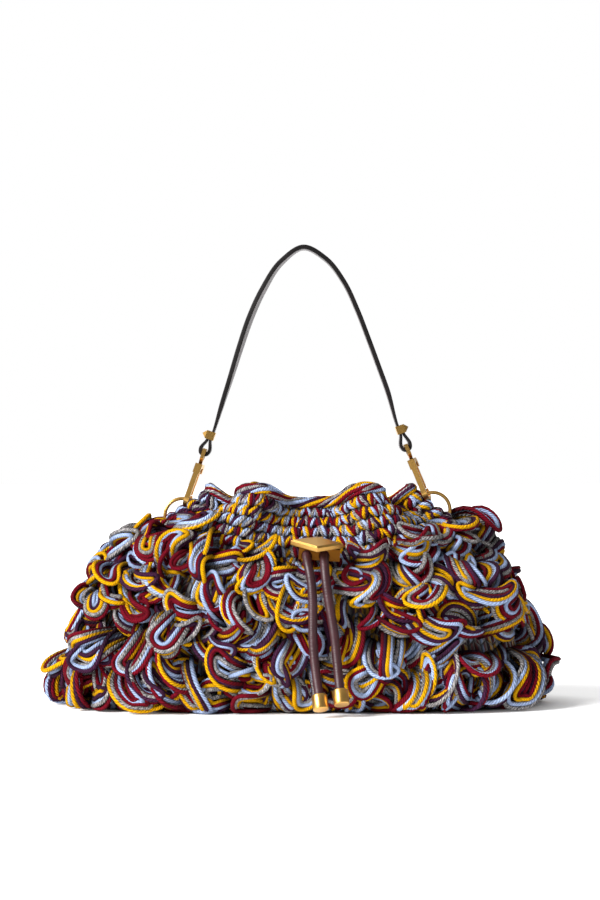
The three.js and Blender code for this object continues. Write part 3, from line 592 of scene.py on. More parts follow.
# Yoke and foot: the plain crochet that shows above the loops, and one round of it at the foot of the wall.
# Each stitch is a point of two plump legs, and each leg is three of the five strands side by side, pulled
# tight. A leg's places are in stitch widths and heights from the middle of its stitch.
LEG_STRANDS = 3
LEG_STATIONS = 7
LEG_SIDES = 5
LEG_RADIUS = 1.35 * MM
LEG_TOP = {"across": 0.41, "up": 0.5}
LEG_POINT = {"across": 0.08, "up": -0.56}
LEG_SWEEP = 1.2
LEG_OUT = {"ends": -1.6 * MM, "middle": 2.5 * MM}
LEG_PLUMPNESS = 0.75
LEG_FAN = 1.9 * MM
FAN_AT_ENDS = 0.35
OUTER_STRANDS_IN = 0.4 * MM
UNEVEN_LEGS = {"size": 0.12, "across": 0.07, "up": 0.08, "out": 0.35 * MM}
STITCH_WIDTH = 9 * MM
STITCH_HEIGHT = 8.3 * MM
YOKE_ROWS = 6
YOKE_TOP = 0.95
ROW_SHIFT = 0.18
GIRTH_POINTS = 300
FOOT_STITCHES = 104
FOOT_LEVEL = 4.2
FOOT_LEVELS_HIGH = 2.6
OFF_FLOOR = 0.2 * MM
TOP_LEVEL = WALL_LEVELS - 1.01
BAND_MARGIN = 0.03
YARN_PLIES = 4.0
YARN_RELIEF = 0.6 * MM
# Painted shade along a strand's outline as seen.
YARN_GRAZING_SHADE = {"narrow": 1.6, "dark": 0.6}
FIBRES = {"across": 2.2, "along": 1.6}
FLECKS = {"from": (0.38, 0.62), "depth": 0.75}
# Painted shade in the grooves between the plies.
PLY_PAINTED_SHADE = {"roundness": 0.6, "ridge": 0.56, "groove": 0.5}
PLY_HEIGHT = {"roundness": 0.7, "fibres": 0.5}
# Painted shade towards a strand's ends: the share of its length over which it brightens again.
END_PAINTED_SHADE = (0.03, 0.3)
STITCH_SEED = 11


def on_wall(grid, share, level):
    """A grid of wall values read between its places: share of the way round, and level number."""
    place = np.mod(share, 1) * WALL_PLACES
    low = np.clip(np.floor(level).astype(int), 0, len(grid) - 2)
    left = np.floor(place).astype(int) % WALL_PLACES
    right = (left + 1) % WALL_PLACES
    rise = (level - low)[..., None]
    step = (place - np.floor(place))[..., None]
    lower = grid[low, left] * (1 - step) + grid[low, right] * step
    upper = grid[low + 1, left] * (1 - step) + grid[low + 1, right] * step
    return lower * (1 - rise) + upper * rise


def wall_place(share):
    """The number of the wall's place nearest to a share of the way round."""
    return np.round(np.mod(share, 1) * WALL_PLACES).astype(int) % WALL_PLACES


def yarn_map(places, yarns):
    """The map of yarn strands: one band of the map for each yarn, and a strand's length from side to side."""
    in_band = BAND_MARGIN + (1 - 2 * BAND_MARGIN) * places[:, 2]
    return np.stack([places[:, 1], (yarns[places[:, 0].astype(int)] + in_band) / len(YARNS)], 1)


def strands(name, groups, material):
    """One object of many yarn strands. A group gives its strands' lines, radii, yarns and number of sides."""
    points, faces, corner_maps, used = [], [[], []], [[], []], 0
    for lines, radii, yarns, sides in groups:
        group_points, group_faces, places = sweep(lines, radii, sides)
        corner_map = yarn_map(places, yarns)
        walls = group_faces[0].size
        for kind, part, part_map in (
            (0, group_faces[0], corner_map[:walls]),
            (1, np.concatenate(group_faces[1:]), corner_map[walls:]),
        ):
            faces[kind].append(part + used)
            corner_maps[kind].append(part_map)
        points.append(group_points)
        used += len(group_points)
    ordered = [part for kind in faces for part in kind]
    made = mesh_object(name, np.concatenate(points), ordered, np.concatenate(corner_maps[0] + corner_maps[1]))
    made.data.materials.append(material)
    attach(made, "root")
    return made


def yarn_group():
    """Plied yarn: strands wound round each other, with fine fibres along them and flecks of other tones.
    Its colour carries painted shade in the grooves between the plies and towards the strand's ends.
    """
    tree, asked, given = finish_group("plied_yarn", ["Plies", "Turns", "Painted end shade"], ["Colour", "Height"])
    place = map_place(tree)
    band = calc(tree, "MULTIPLY", place["Y"], float(len(YARNS)))
    in_band = calc(tree, "SUBTRACT", calc(tree, "FRACT", band), BAND_MARGIN)
    around = calc(tree, "MULTIPLY", in_band, 1 / (1 - 2 * BAND_MARGIN))
    plies = calc(tree, "MULTIPLY", around, asked["Plies"])
    wound = calc(tree, "MULTIPLY_ADD", place["X"], asked["Turns"], plies)
    ridge = calc(tree, "ABSOLUTE", calc(tree, "SINE", calc(tree, "MULTIPLY", wound, math.pi)))
    run = calc(tree, "MULTIPLY", place["X"], calc(tree, "MULTIPLY", asked["Turns"], FIBRES["along"]))
    across = calc(tree, "MULTIPLY", wound, FIBRES["across"])
    thread = node(tree, "ShaderNodeCombineXYZ", {0: across, 1: run, 2: band}).outputs[0]
    fibre = noise(tree, thread, 1.0, detail=3.0)
    colour = yarn_ramp(tree, place["Y"])
    fleck = calc(tree, "MULTIPLY", ranged(tree, fibre, FLECKS["from"], (-1.0, 1.0)), colour["Alpha"])
    tone = calc(tree, "MULTIPLY_ADD", fleck, FLECKS["depth"], 1.0)
    # Painted shade: the colour is darker in the grooves between the plies.
    rounded = calc(tree, "POWER", ridge, PLY_PAINTED_SHADE["roundness"])
    groove = calc(tree, "MULTIPLY_ADD", rounded, PLY_PAINTED_SHADE["ridge"], PLY_PAINTED_SHADE["groove"])
    # Painted shade: the colour is darker towards the strand's ends, where they go into the cloth.
    from_end = calc(tree, "MINIMUM", place["X"], calc(tree, "SUBTRACT", 1.0, place["X"]))
    at_end = calc(tree, "SUBTRACT", 1.0, asked["Painted end shade"])
    lit = ranged(tree, from_end, END_PAINTED_SHADE, (at_end, 1.0), "SMOOTHSTEP")
    shade = calc(tree, "MULTIPLY", calc(tree, "MULTIPLY", tone, lit), groove)
    tree.links.new(mixed(tree, 1.0, colour["Color"], shade, "MULTIPLY"), given["Colour"])
    rounded = calc(tree, "POWER", ridge, PLY_HEIGHT["roundness"])
    height = calc(tree, "MULTIPLY_ADD", fibre, PLY_HEIGHT["fibres"], rounded)
    tree.links.new(height, given["Height"])
    return tree


plied_yarn = yarn_group()


def yarn(name, turns, painted_end_shade):
    """Yarn with a number of turns along each strand, with painted shade where its ends go into the cloth
    and along its outline, where its surface turns away from the view.
    """
    material, tree = finish_of(name, Roughness=0.9, Specular_IOR_Level=0.12)
    twist = {"Plies": YARN_PLIES, "Turns": turns, "Painted end shade": painted_end_shade}
    plied = node(tree, "ShaderNodeGroup", twist, node_tree=plied_yarn).outputs
    # Painted shade: the colour is darker along the strand's outline, where its surface turns away from the
    # view.
    facing = node(tree, "ShaderNodeLayerWeight", {"Blend": 0.5}).outputs["Facing"]
    edge = calc(tree, "MULTIPLY", calc(tree, "POWER", facing, YARN_GRAZING_SHADE["narrow"]), YARN_GRAZING_SHADE["dark"])
    colour = mixed(tree, 1.0, plied["Colour"], calc(tree, "SUBTRACT", 1.0, edge), "MULTIPLY")
    feed(tree, Base_Color=colour, Normal=bumped(tree, plied["Height"], YARN_RELIEF))
    return material


def drop_grid(step, count):
    """The level number that lies each number of steps below the rim, at every place of the wall."""
    down = np.linalg.norm(np.diff(wall[::-1], axis=0), axis=2)
    fallen = np.concatenate([np.zeros((1, WALL_PLACES)), np.cumsum(down, axis=0)])
    numbers = np.arange(WALL_LEVELS)[::-1]
    steps = step * np.arange(count)
    return np.stack([np.interp(steps, fallen[:, place], numbers) for place in range(WALL_PLACES)], 1)


def stitch_legs(level_of, stitches, shift, rng):
    """Lines and yarns of one round's strands. level_of gives the wall's level at a share and some rows up."""
    each_leg = np.meshgrid(np.arange(stitches), (-1, 1), np.arange(LEG_STRANDS), indexing="ij")
    stitch, side, strand = (part.ravel() for part in each_leg)
    t = np.linspace(0, 1, LEG_STATIONS)
    bow = np.sin(np.pi * t)
    apart = (strand - (LEG_STRANDS - 1) / 2)[:, None]
    uneven = np.repeat(rng.standard_normal((stitches * 2, 3)), LEG_STRANDS, axis=0)[:, :, None]
    size = 1 + UNEVEN_LEGS["size"] * uneven[:, 0]
    reach = LEG_TOP["across"] + (LEG_POINT["across"] - LEG_TOP["across"]) * t**LEG_SWEEP
    fan = LEG_FAN / STITCH_WIDTH * apart * (FAN_AT_ENDS + (1 - FAN_AT_ENDS) * bow)
    across = side[:, None] * reach * size + fan + UNEVEN_LEGS["across"] * uneven[:, 1]
    up = (LEG_TOP["up"] + (LEG_POINT["up"] - LEG_TOP["up"]) * t) * size + UNEVEN_LEGS["up"] * uneven[:, 2]
    out = LEG_OUT["ends"] + (LEG_OUT["middle"] - LEG_OUT["ends"]) * bow**LEG_PLUMPNESS
    out = out - OUTER_STRANDS_IN * np.abs(apart) + UNEVEN_LEGS["out"] * uneven[:, 1]
    share = (stitch[:, None] + shift + across) / stitches
    level = np.clip(level_of(share, up), 0, TOP_LEVEL)
    lines = on_wall(wall, share, level) + out[..., None] * on_wall(wall_normal, share, level)
    order = np.argsort(rng.random((stitches * 2, len(YARNS))), axis=1)[:, :LEG_STRANDS]
    return lines, order.ravel()


def stitch_piece(name, lines, yarns):
    """One object of all the stitch legs in some rounds."""
    made = strands(name, [(lines, np.full(lines.shape[:2], LEG_RADIUS), yarns, LEG_SIDES)], stitch_yarn)
    return made


stitch_yarn = yarn("stitch_yarn", turns=6.0, painted_end_shade=0.8)
rng = np.random.default_rng(STITCH_SEED)
drops = drop_grid(STITCH_HEIGHT, YOKE_ROWS + 2)
once_round = np.linspace(0, 1, GIRTH_POINTS)
rounds = []
for row in range(YOKE_ROWS):
    row_levels = np.interp(once_round * WALL_PLACES, np.arange(WALL_PLACES), drops[row])
    row_line = on_wall(wall, once_round, row_levels)
    girth = run_along(row_line)[-1]

    def yoke_level(share, up, row=row):
        place = wall_place(share)
        below = np.clip(row + YOKE_TOP - up, 0, YOKE_ROWS + 1)
        low = np.clip(np.floor(below).astype(int), 0, YOKE_ROWS)
        return drops[low, place] + (drops[low + 1, place] - drops[low, place]) * (below - low)

    rounds.append(stitch_legs(yoke_level, round(girth / STITCH_WIDTH), ROW_SHIFT * row, rng))
yoke = stitch_piece("yoke_stitches", *(np.concatenate(part) for part in zip(*rounds)))


def foot_level(share, up):
    """The wall's level at a number of rows up from the middle of the foot's round."""
    return FOOT_LEVEL + FOOT_LEVELS_HIGH * up


foot_lines, foot_yarns = stitch_legs(foot_level, FOOT_STITCHES, 0, rng)
foot_lines[..., 2] = np.maximum(foot_lines[..., 2], LEG_RADIUS + OFF_FLOOR)
foot = stitch_piece("foot_stitches", foot_lines, foot_yarns)

# Rim: the mouth's last round, worked with eleven strands of the five yarns twisted together into a thick
# soft rope that follows the gathers up and down.
MUSTARD, BLUE, WINE, PLUM, GREY = range(len(YARNS))
RIM_YARNS = (MUSTARD, PLUM, BLUE, WINE, GREY, WINE, MUSTARD, BLUE, PLUM, GREY, WINE)
RIM_STATIONS = 421
RIM_LENGTHS = 6
RIM_RADIUS = 2.5 * MM
RIM_STRAND = 1.35 * MM
RIM_SIDES = 7
RIM_TURNS = 6
RIM_PLACE = {"inward": 0.1 * WALL, "below_top": 0.6 * MM}
RIM_UNEVEN = {"turn": 0.35, "radius": 0.2}
DRIFT_WAVES = (3, 5, 8, 13)
RIM_SEED = 5

rng = np.random.default_rng(RIM_SEED)
around = np.linspace(0, 1, RIM_STATIONS)
top = np.full(RIM_STATIONS, TOP_LEVEL)
outward = unit(on_wall(wall_normal, around, top) * np.array([1, 1, 0]))
upward = np.array([0.0, 0.0, 1.0])
rim_line = on_wall(wall, around, top) - RIM_PLACE["inward"] * outward - RIM_PLACE["below_top"] * upward


def drift(size):
    """A slow random wave round the rim that meets itself."""
    return size * sum(np.sin(2 * np.pi * (k * around + rng.random())) / k**0.5 for k in DRIFT_WAVES)


rim_lines = []
for strand in range(len(RIM_YARNS)):
    angle = 2 * np.pi * (strand / len(RIM_YARNS) + RIM_TURNS * around) + drift(RIM_UNEVEN["turn"])
    radius = (RIM_RADIUS * (1 + drift(RIM_UNEVEN["radius"])))[:, None]
    rim_lines.append(rim_line + radius * (np.cos(angle)[:, None] * outward + np.sin(angle)[:, None] * upward))
rim_lines = np.stack(rim_lines)
starts = np.linspace(0, RIM_STATIONS - 1, RIM_LENGTHS + 1).astype(int)[:-1]
span = (RIM_STATIONS - 1) // RIM_LENGTHS + 1
rim_lines = np.concatenate([rim_lines[:, start:start + span] for start in starts])
rim_radii = np.full(rim_lines.shape[:2], RIM_STRAND)
rim_yarns = np.tile(RIM_YARNS, RIM_LENGTHS)
rope_yarn = yarn("rope_yarn", turns=42.0, painted_end_shade=0.0)
rim = strands("twisted_rim", [(rim_lines, rim_radii, rim_yarns, RIM_SIDES)], rope_yarn)

# Loop rows: bunches of five strands drawn out into fat loops all along six rows, from the foot of the wall
# to the yoke. Short ones lie flat on the wall. Long ones fall over them any way and pile up as curls and
# hairpins. The rows' and layers' own sizes are in millimetres and degrees.
LOOP_ROWS = (
    {"z": 13, "size": 0.85, "turn": 80},
    {"z": 34, "size": 1.0, "turn": 75},
    {"z": 55, "size": 1.03, "turn": 75},
    {"z": 76, "size": 1.03, "turn": 75},
    {"z": 97, "size": 1.0, "turn": 70},
    {"z": 116, "size": 0.92, "turn": 62},
)
LOOP_LAYERS = {
    "short": {
        "count": 50, "length": 20.5, "lift": (1.5, 3.5), "roll": 16, "curl": 25, "curled": 0.55,
        "open": (0.6, 1.1), "stations": 14, "sides": 5,
    },
    "long": {
        "count": 42, "length": 26, "lift": (4, 14), "roll": 50, "curl": 70, "curled": 0.6,
        "open": (0.65, 1.1), "stations": 26, "sides": 6,
    },
}
# Where loops are rooted, and which way they fall.
ROW_DIP = 0.18
ROOT_SPREAD = {"share": 0.35, "height": 6, "lowest": 4}
HEADING_LIMIT = {"by_yoke": 55, "elsewhere": 150}
BY_YOKE = {"above": 70 * MM, "middle": 10 * MM, "half_width": 75 * MM}
LOWEST_TIP = 9 * MM
HIGHEST_TIP = -0.5
# The form of one loop, and of the bunch of strands in it.
LOOP_LENGTHS = (0.85, 1.2)
LOOP_WIDTHS = (0.92, 1.12)
LOOP_BENDS = (-95, 95)
CURLED_NEST = (-32, 32)
FOLDED_NEST = (50, 85)
BUNCH = 5
MORE_WINE = 0.25
BUNCH_BULGE = 1.9 * MM
UNEVEN_BUNCH = {"beside": 0.12, "above": 0.35 * MM}
UNEVEN_STRANDS = (0.94, 1.06)
WANDER = 0.4 * MM
SWAY = 1.2 * MM
HALF_WAVES = {"sway": 3, "beside": 3, "above": 4}
STRAND_RADIUS = 1.52 * MM
STRAND_STEP = 2.15 * MM
LOOP_HALF_WIDTH = 5.9 * MM
LEAST_HALF_WIDTH = 1.9 * MM
LEG_SHARE = 0.25
MOST_SLOPE = 0.95
FARTHEST = 1.2
CURL_FROM = 0.3
TIP_FALL = 0.3
LIFT_CURVE = 4
FALL_CURVE = 3
ROOT_OUT = 2.2 * MM
ROOT_SUNK = 1.2 * MM
ROOT_GATHER = 0.35
ROOT_ENDS = {"sunk": 0.1, "risen": 0.2, "gathered": 0.35}
SOFT_TURN = {"wall": 0.5 * MM, "pile": 2 * MM, "floor": 1.5 * MM}
# How loops lie on the wall and on each other, and what they keep clear of.
DROP_STEP = 2 * MM
DROP_STEPS = 100
LAST_DROP = DROP_STEPS - 1.01
PILE_CELLS = (280, 76)
PILE_CELL = 2.5 * MM
PILE_TOP = 24 * MM
PILE_SHARE = 0.6
PILE_LIFT = {"free_from": 0.35, "full_from": 0.3, "curve": 0.7}
LAY_ORDER = {"layer": 10, "row": 0.6, "shuffle": 2.4}
BAG_END = {"from": 100 * MM, "over": 40 * MM, "lift": 14 * MM, "pile": 5 * MM}
CORD_LANE = {"x": 15 * MM, "half_width": 15 * MM, "edge": 14 * MM, "top": 9.5 * MM}
LOWER_PLACES = (0, 6 * MM, 12 * MM, 18 * MM)
FLOOR_ROOM = 4 * MM
STRAND_ROOM = 0.3 * MM
FITTING_ROOM = 2.2 * MM
RING_ROOM = 3.4 * MM
RING_WIRE = 1.2 * MM
RING_MARKS = 64
TURN_SPAN = 3
ROUNDNESS = {"span": 6, "most": 25, "reach": 9 * MM}
LOOP_SEED = 3

drops = drop_grid(DROP_STEP, DROP_STEPS)
fallen = np.linalg.norm(np.diff(wall, axis=0), axis=2)
fallen = np.concatenate([np.cumsum(fallen[::-1], axis=0)[::-1], np.zeros((1, WALL_PLACES))])
girths = np.linalg.norm(np.roll(wall, -1, axis=1) - wall, axis=2).sum(1)
chords = np.linalg.norm(round_step(wall, TURN_SPAN), axis=2)
turning = (round_step(wall_normal, TURN_SPAN) * wall_along).sum(2) / chords
shifts = range(-ROUNDNESS["span"], ROUNDNESS["span"] + 1)
roundness = sum(np.roll(turning, shift, axis=1) for shift in shifts) / len(shifts)
roundness = np.clip(roundness, 0, ROUNDNESS["most"])


def over_zero(values, ease):
    """Values below zero brought up to it, with a soft turn."""
    return ease * np.logaddexp(0, values / ease)


def relaxed(lines, times):
    """Lines with their sharp turns eased, as springy yarn eases them."""
    for _ in range(times):
        middle = (lines[..., :-2, :] + 2 * lines[..., 1:-1, :] + lines[..., 2:, :]) / 4
        lines = np.concatenate([lines[..., :1, :], middle, lines[..., -1:, :]], axis=-2)
    return lines


def relaxed_values(values, times):
    """The same for one value at each station."""
    return relaxed(values[..., None], times)[..., 0]


def at_bag_end(x):
    """How far a place is towards the left or right end of the bag, from 0 to 1."""
    return np.clip((np.abs(x) - BAG_END["from"]) / BAG_END["over"], 0, 1)


def loop_roots(count, z, rng):
    """Where the loops of one row are rooted: share of the way round the wall and level number."""
    uneven = rng.uniform(-ROOT_SPREAD["share"], ROOT_SPREAD["share"], count)
    share = (np.arange(count) + uneven) / count + rng.random()
    dipped = z * (1 - ROW_DIP * np.cos(2 * np.pi * share) ** 2)
    height = dipped + rng.uniform(-ROOT_SPREAD["height"], ROOT_SPREAD["height"], count)
    height = np.maximum(height, ROOT_SPREAD["lowest"]) * MM
    columns = wall[:, wall_place(share), 2].T
    numbers = np.arange(WALL_LEVELS)
    level = np.array([np.interp(h, column, numbers) for h, column in zip(height, columns)])
    return share, level


def teardrop(far, wide, apart, stations):
    """A loop from its root out and back: how far forward and how far to the side. Its feet are set apart."""
    middle = far - wide
    slope = np.arcsin(np.clip(wide / middle, 0, MOST_SLOPE))
    leg = middle * np.cos(slope)
    whole = 2 * leg + wide * (np.pi + 2 * slope)
    t = np.linspace(0, 1, stations + 1)
    round_tip = leg + (whole - 2 * leg) * (t - LEG_SHARE) / (1 - 2 * LEG_SHARE)
    run = np.where(t < LEG_SHARE, leg * t / LEG_SHARE, round_tip)
    run = np.where(t > 1 - LEG_SHARE, whole - leg * (1 - t) / LEG_SHARE, run)
    angle = (run - leg) / wide - np.pi / 2 - slope
    forward = middle + wide * np.cos(angle)
    aside = wide * np.sin(angle)
    for left, way in ((run, -1), (whole - run, 1)):
        forward = np.where(left < leg, left * np.cos(slope), forward)
        aside = np.where(left < leg, way * left * np.sin(slope), aside)
        aside = aside + way * apart * wide * np.clip(1 - left / leg, 0, 1)
    return forward, aside


def headings(root, far, turn, rng):
    """Which way each loop falls, as a turn away from straight down. Its tip stays above the floor."""
    by_yoke = (root[:, 1] < 0) & (root[:, 2] > BY_YOKE["above"])
    by_yoke &= np.abs(root[:, 0] - BY_YOKE["middle"]) < BY_YOKE["half_width"]
    limit = np.where(by_yoke, HEADING_LIMIT["by_yoke"], HEADING_LIMIT["elsewhere"])
    heading = np.clip(rng.normal(0, turn, len(root)), -limit, limit)
    drop = np.clip((root[:, 2] - LOWEST_TIP) / far, HIGHEST_TIP, 1)
    least = np.degrees(np.arccos(drop))
    return np.where(np.abs(heading) < least, least * np.where(heading < 0, -1, 1), heading)


def loop_bunches(z, size, turn, layer, rng):
    """Bunches of one row and layer, spread on the wall: share of the way round, drop below the rim, distance
    out from the wall, and how far along the loop, each shaped (bunches, strands, stations)."""
    share, level = loop_roots(layer["count"], z, rng)
    root = on_wall(wall, share, level)
    count = len(root)

    def draw(low, high):
        return rng.uniform(low, high, count)[:, None, None]

    # The whole bunch: its length and width, the way it falls, and how it bends, lifts, rolls and curls.
    far = size * layer["length"] * MM * draw(*LOOP_LENGTHS)
    wide = LOOP_HALF_WIDTH * draw(*LOOP_WIDTHS)
    heading = np.radians(headings(root, far[:, 0, 0], turn, rng))[:, None, None]
    bend = np.radians(draw(*LOOP_BENDS))
    lift = MM * draw(*layer["lift"]) + BAG_END["lift"] * at_bag_end(root[:, :1, None]) * draw(0, 1)
    roll = np.radians(draw(-layer["roll"], layer["roll"]))
    curl = np.radians(draw(-layer["curl"], layer["curl"]))
    nest = np.radians(np.where(draw(0, 1) < layer["curled"], draw(*CURLED_NEST), draw(*FOLDED_NEST)))

    # Its strands: each one's place beside and above the others, and its own teardrop.
    order = (np.arange(BUNCH) - (BUNCH - 1) / 2)[:, None]
    beside = STRAND_STEP * (order + rng.normal(0, UNEVEN_BUNCH["beside"], (count, BUNCH, 1)))
    above = BUNCH_BULGE * (1 - (2 * order / (BUNCH - 1)) ** 2)
    above = above + rng.normal(0, UNEVEN_BUNCH["above"], (count, BUNCH, 1))
    t = np.linspace(0, 1, layer["stations"] + 1)
    phase = rng.uniform(0, 2 * np.pi, (3, count, BUNCH, 1))
    nested = beside * np.cos(nest) - above * np.sin(nest)
    half_width = np.maximum(wide + nested, LEAST_HALF_WIDTH)
    reach, aside = teardrop(far + nested, half_width, draw(*layer["open"]), layer["stations"])
    away = np.clip(reach / far, 0, FARTHEST)
    gather = ROOT_GATHER + (1 - ROOT_GATHER) * np.minimum(away / ROOT_ENDS["gathered"], 1)
    sway = SWAY * away * np.sin(HALF_WAVES["sway"] * np.pi * t + phase[1, :, :1])
    width = aside + sway + WANDER * np.sin(HALF_WAVES["beside"] * np.pi * t + phase[0])
    stack = beside * np.sin(nest) + above * np.cos(nest)
    stack = (stack + WANDER * np.sin(HALF_WAVES["above"] * np.pi * t + phase[2])) * gather

    # The bunch rolled and curled about its own length, lifted, and kept out of the wall but for its root.
    spin = roll + curl * (away - CURL_FROM)
    sideways = width * np.cos(spin) - stack * np.sin(spin)
    outward = lift * (1 - (1 - np.minimum(away, 1)) ** LIFT_CURVE) - TIP_FALL * lift * away**FALL_CURVE
    outward = outward + width * np.sin(spin) + stack * np.cos(spin)
    risen = ROOT_OUT * np.minimum(away / ROOT_ENDS["risen"], 1)
    rooted = risen - ROOT_SUNK * np.maximum(1 - away / ROOT_ENDS["sunk"], 0)
    under = (rooted - outward).max(axis=1, keepdims=True)
    clear = outward + over_zero(under, SOFT_TURN["wall"])
    outward = relaxed_values(np.where(away < ROOT_ENDS["sunk"], rooted, clear), 3)

    # The bunch laid along the wall the way it falls, no lower than the floor.
    facing = heading + bend * (away - CURL_FROM)
    spread = np.sin(facing) * reach + np.cos(facing) * sideways
    down = np.cos(facing) * reach - np.sin(facing) * sideways
    tightness = 1 / (1 + ROUNDNESS["reach"] * on_wall(roundness[..., None], share, level))
    girth = np.interp(level, np.arange(WALL_LEVELS), girths)
    round_wall = share[:, None, None] + spread * (tightness / girth[:, None])[..., None]
    below_rim = on_wall(fallen[..., None], share, level)[..., None] + down
    to_floor = on_wall(fallen[..., None], share, 0 * level)[..., None] - FLOOR_ROOM
    too_low = (below_rim - to_floor).max(axis=(1, 2), keepdims=True)
    return round_wall, below_rim - np.maximum(too_low, 0), outward, away


def level_below(share, below_rim):
    """The level number of the wall at each drop below the rim."""
    return on_wall(drops[..., None], share, np.clip(below_rim / DROP_STEP, 0, LAST_DROP))[..., 0]


def pile_top(share, below_rim):
    """How high the loops may pile up: less in the lane behind the drawcord ends, more at the bag's ends."""
    places = on_wall(wall, share, level_below(share, below_rim))
    clear = (np.abs(places[..., 0] - CORD_LANE["x"]) - CORD_LANE["half_width"]) / CORD_LANE["edge"]
    clear = np.where(places[..., 1] < 0, np.clip(clear, 0, 1), 1)
    open_top = PILE_TOP + BAG_END["pile"] * at_bag_end(places[..., 0])
    return CORD_LANE["top"] + (open_top - CORD_LANE["top"]) * clear


def pile_cells(share, below_rim):
    """The cells of the pile's height map that lie under some places on the wall."""
    rows = np.clip(np.floor(below_rim / PILE_CELL).astype(int), 0, PILE_CELLS[1] - 1)
    return np.floor(np.mod(share, 1) * PILE_CELLS[0]).astype(int), rows


def laid_on(pile, share, below_rim, outward, away):
    """The distance out of one bunch, lifted on to the pile where it falls."""
    short_of = pile[pile_cells(share, below_rim)] + STRAND_RADIUS - outward
    need = np.quantile(short_of[away > PILE_LIFT["free_from"]], PILE_SHARE)
    lifted = np.clip(away / PILE_LIFT["full_from"], 0, 1) ** PILE_LIFT["curve"]
    outward = outward + max(need, 0) * lifted
    top = pile_top(share, below_rim)
    return relaxed_values(top - over_zero(top - outward, SOFT_TURN["pile"]), 3)


def strand_lines(share, below_rim, outward):
    """Lines in space of one bunch's strands, kept off the floor."""
    level = level_below(share, below_rim)
    lines = on_wall(wall, share, level) + outward[..., None] * unit(on_wall(wall_normal, share, level))
    lines = lines + np.maximum(-below_rim, 0)[..., None] * on_wall(wall_up, share, level)
    lines = relaxed(lines, 2)
    lowest = lines[..., 2].min(axis=0, keepdims=True)
    lines[..., 2] += over_zero(STRAND_RADIUS + STRAND_ROOM - lowest, SOFT_TURN["floor"])
    return relaxed(lines, 1)


def ring_circle(solid):
    """The middle of a shoulder ring, and the radius of its wire's middle line."""
    low, high = (np.array(corner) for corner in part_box(solid))
    return (low + high) / 2, (high[0] - low[0]) / 2 - RING_WIRE


def ring_line(solid):
    """Points along the wire of a shoulder ring."""
    middle, radius = ring_circle(solid)
    turn = np.linspace(0, 2 * np.pi, RING_MARKS)
    return middle + radius * np.stack([np.cos(turn), 0 * turn, np.sin(turn)], 1)


ring_lines = [ring_line(f"shoulder_ring_{side_name}") for side_name in ("left", "right")]


def clear_of_fittings(lines):
    """Whether a bunch lies clear of the toggle and of the shoulder rings."""
    for solid in ("toggle_plate", "toggle_block"):
        low, high = (np.array(corner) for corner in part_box(solid))
        inside = (lines > low - FITTING_ROOM) & (lines < high + FITTING_ROOM)
        if inside.all(axis=-1).any():
            return False
    points = lines.reshape(-1, 1, 3)
    return all(np.linalg.norm(points - ring, axis=2).min() > RING_ROOM for ring in ring_lines)


# Every bunch is laid on the pile in turn, the short ones first and each layer roughly from the foot up. One
# that would meet the toggle or a ring is tried lower down, and left out if it fits nowhere.
rng = np.random.default_rng(LOOP_SEED)
bunches = []
for number, sizes in enumerate(LOOP_ROWS):
    for kind, layer in enumerate(LOOP_LAYERS.values()):
        parts = loop_bunches(**sizes, layer=layer, rng=rng)
        shuffle = rng.uniform(0, LAY_ORDER["shuffle"], len(parts[0]))
        ranks = LAY_ORDER["layer"] * kind + LAY_ORDER["row"] * number + shuffle
        bunches += [(rank, number, kind, bunch) for rank, *bunch in zip(ranks, *parts)]
bunches.sort(key=lambda bunch: bunch[0])
pile = np.zeros(PILE_CELLS)
row_lines = {(number, kind): [] for number in range(len(LOOP_ROWS)) for kind in range(len(LOOP_LAYERS))}
for _, number, kind, (share, below_rim, outward, away) in bunches:
    for lower in LOWER_PLACES:
        out = laid_on(pile, share, below_rim + lower, outward, away)
        lines = strand_lines(share, below_rim + lower, out)
        if clear_of_fittings(lines):
            np.maximum.at(pile, pile_cells(share, below_rim + lower), out + STRAND_RADIUS)
            row_lines[number, kind].append(lines)
            break
loop_yarn = yarn("loop_yarn", turns=48.0, painted_end_shade=0.72)
for number in range(len(LOOP_ROWS)):
    groups = []
    for kind, layer in enumerate(LOOP_LAYERS.values()):
        lines = np.concatenate(row_lines[number, kind])
        yarns = np.argsort(rng.random((len(lines) // BUNCH, len(YARNS))), axis=1)[:, :BUNCH].ravel()
        yarns = np.where((yarns == PLUM) & (rng.random(len(yarns)) < MORE_WINE), WINE, yarns)
        thickness = rng.uniform(*UNEVEN_STRANDS, (len(lines), 1))
        radii = STRAND_RADIUS * np.repeat(thickness, lines.shape[1], axis=1)
        groups.append((lines, radii, yarns, layer["sides"]))
    row = strands(f"yarn_loops_{number + 1}", groups, loop_yarn)
    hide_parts(f"loop_row_{number + 1}")

# Toggle: a cast plate like a low square pyramid with a groove round its foot, set corner forward on a block
# that the cord ends run through. Both are plated in aged gold, and the block is painted dark brown all
# over as shade from the plate above it.
TOGGLE_AT = (10.8, -54, 106.7)
TOGGLE_TILT = math.radians(10)
TOGGLE_ROLL = math.radians(4)
PLATE_PROFILE = [(16.1, 0), (17, 0.55), (17, 2.8), (16.6, 3.3), (15.9, 2.75), (15.2, 3.88), (0.02, 6.4)]
PLATE_SIDES = 4
PLATE_EDGE = 0.12 * MM
CAST_EDGE = 0.3 * MM
SHARP_EDGE = math.radians(12)


def soft_edges(piece, width):
    """Rounds a cast piece's sharp edges a little."""
    edges = piece.modifiers.new("soft_edges", "BEVEL")
    edges.width = width
    edges.segments = 3
    edges.limit_method = "ANGLE"
    edges.angle_limit = SHARP_EDGE
    edges.harden_normals = True


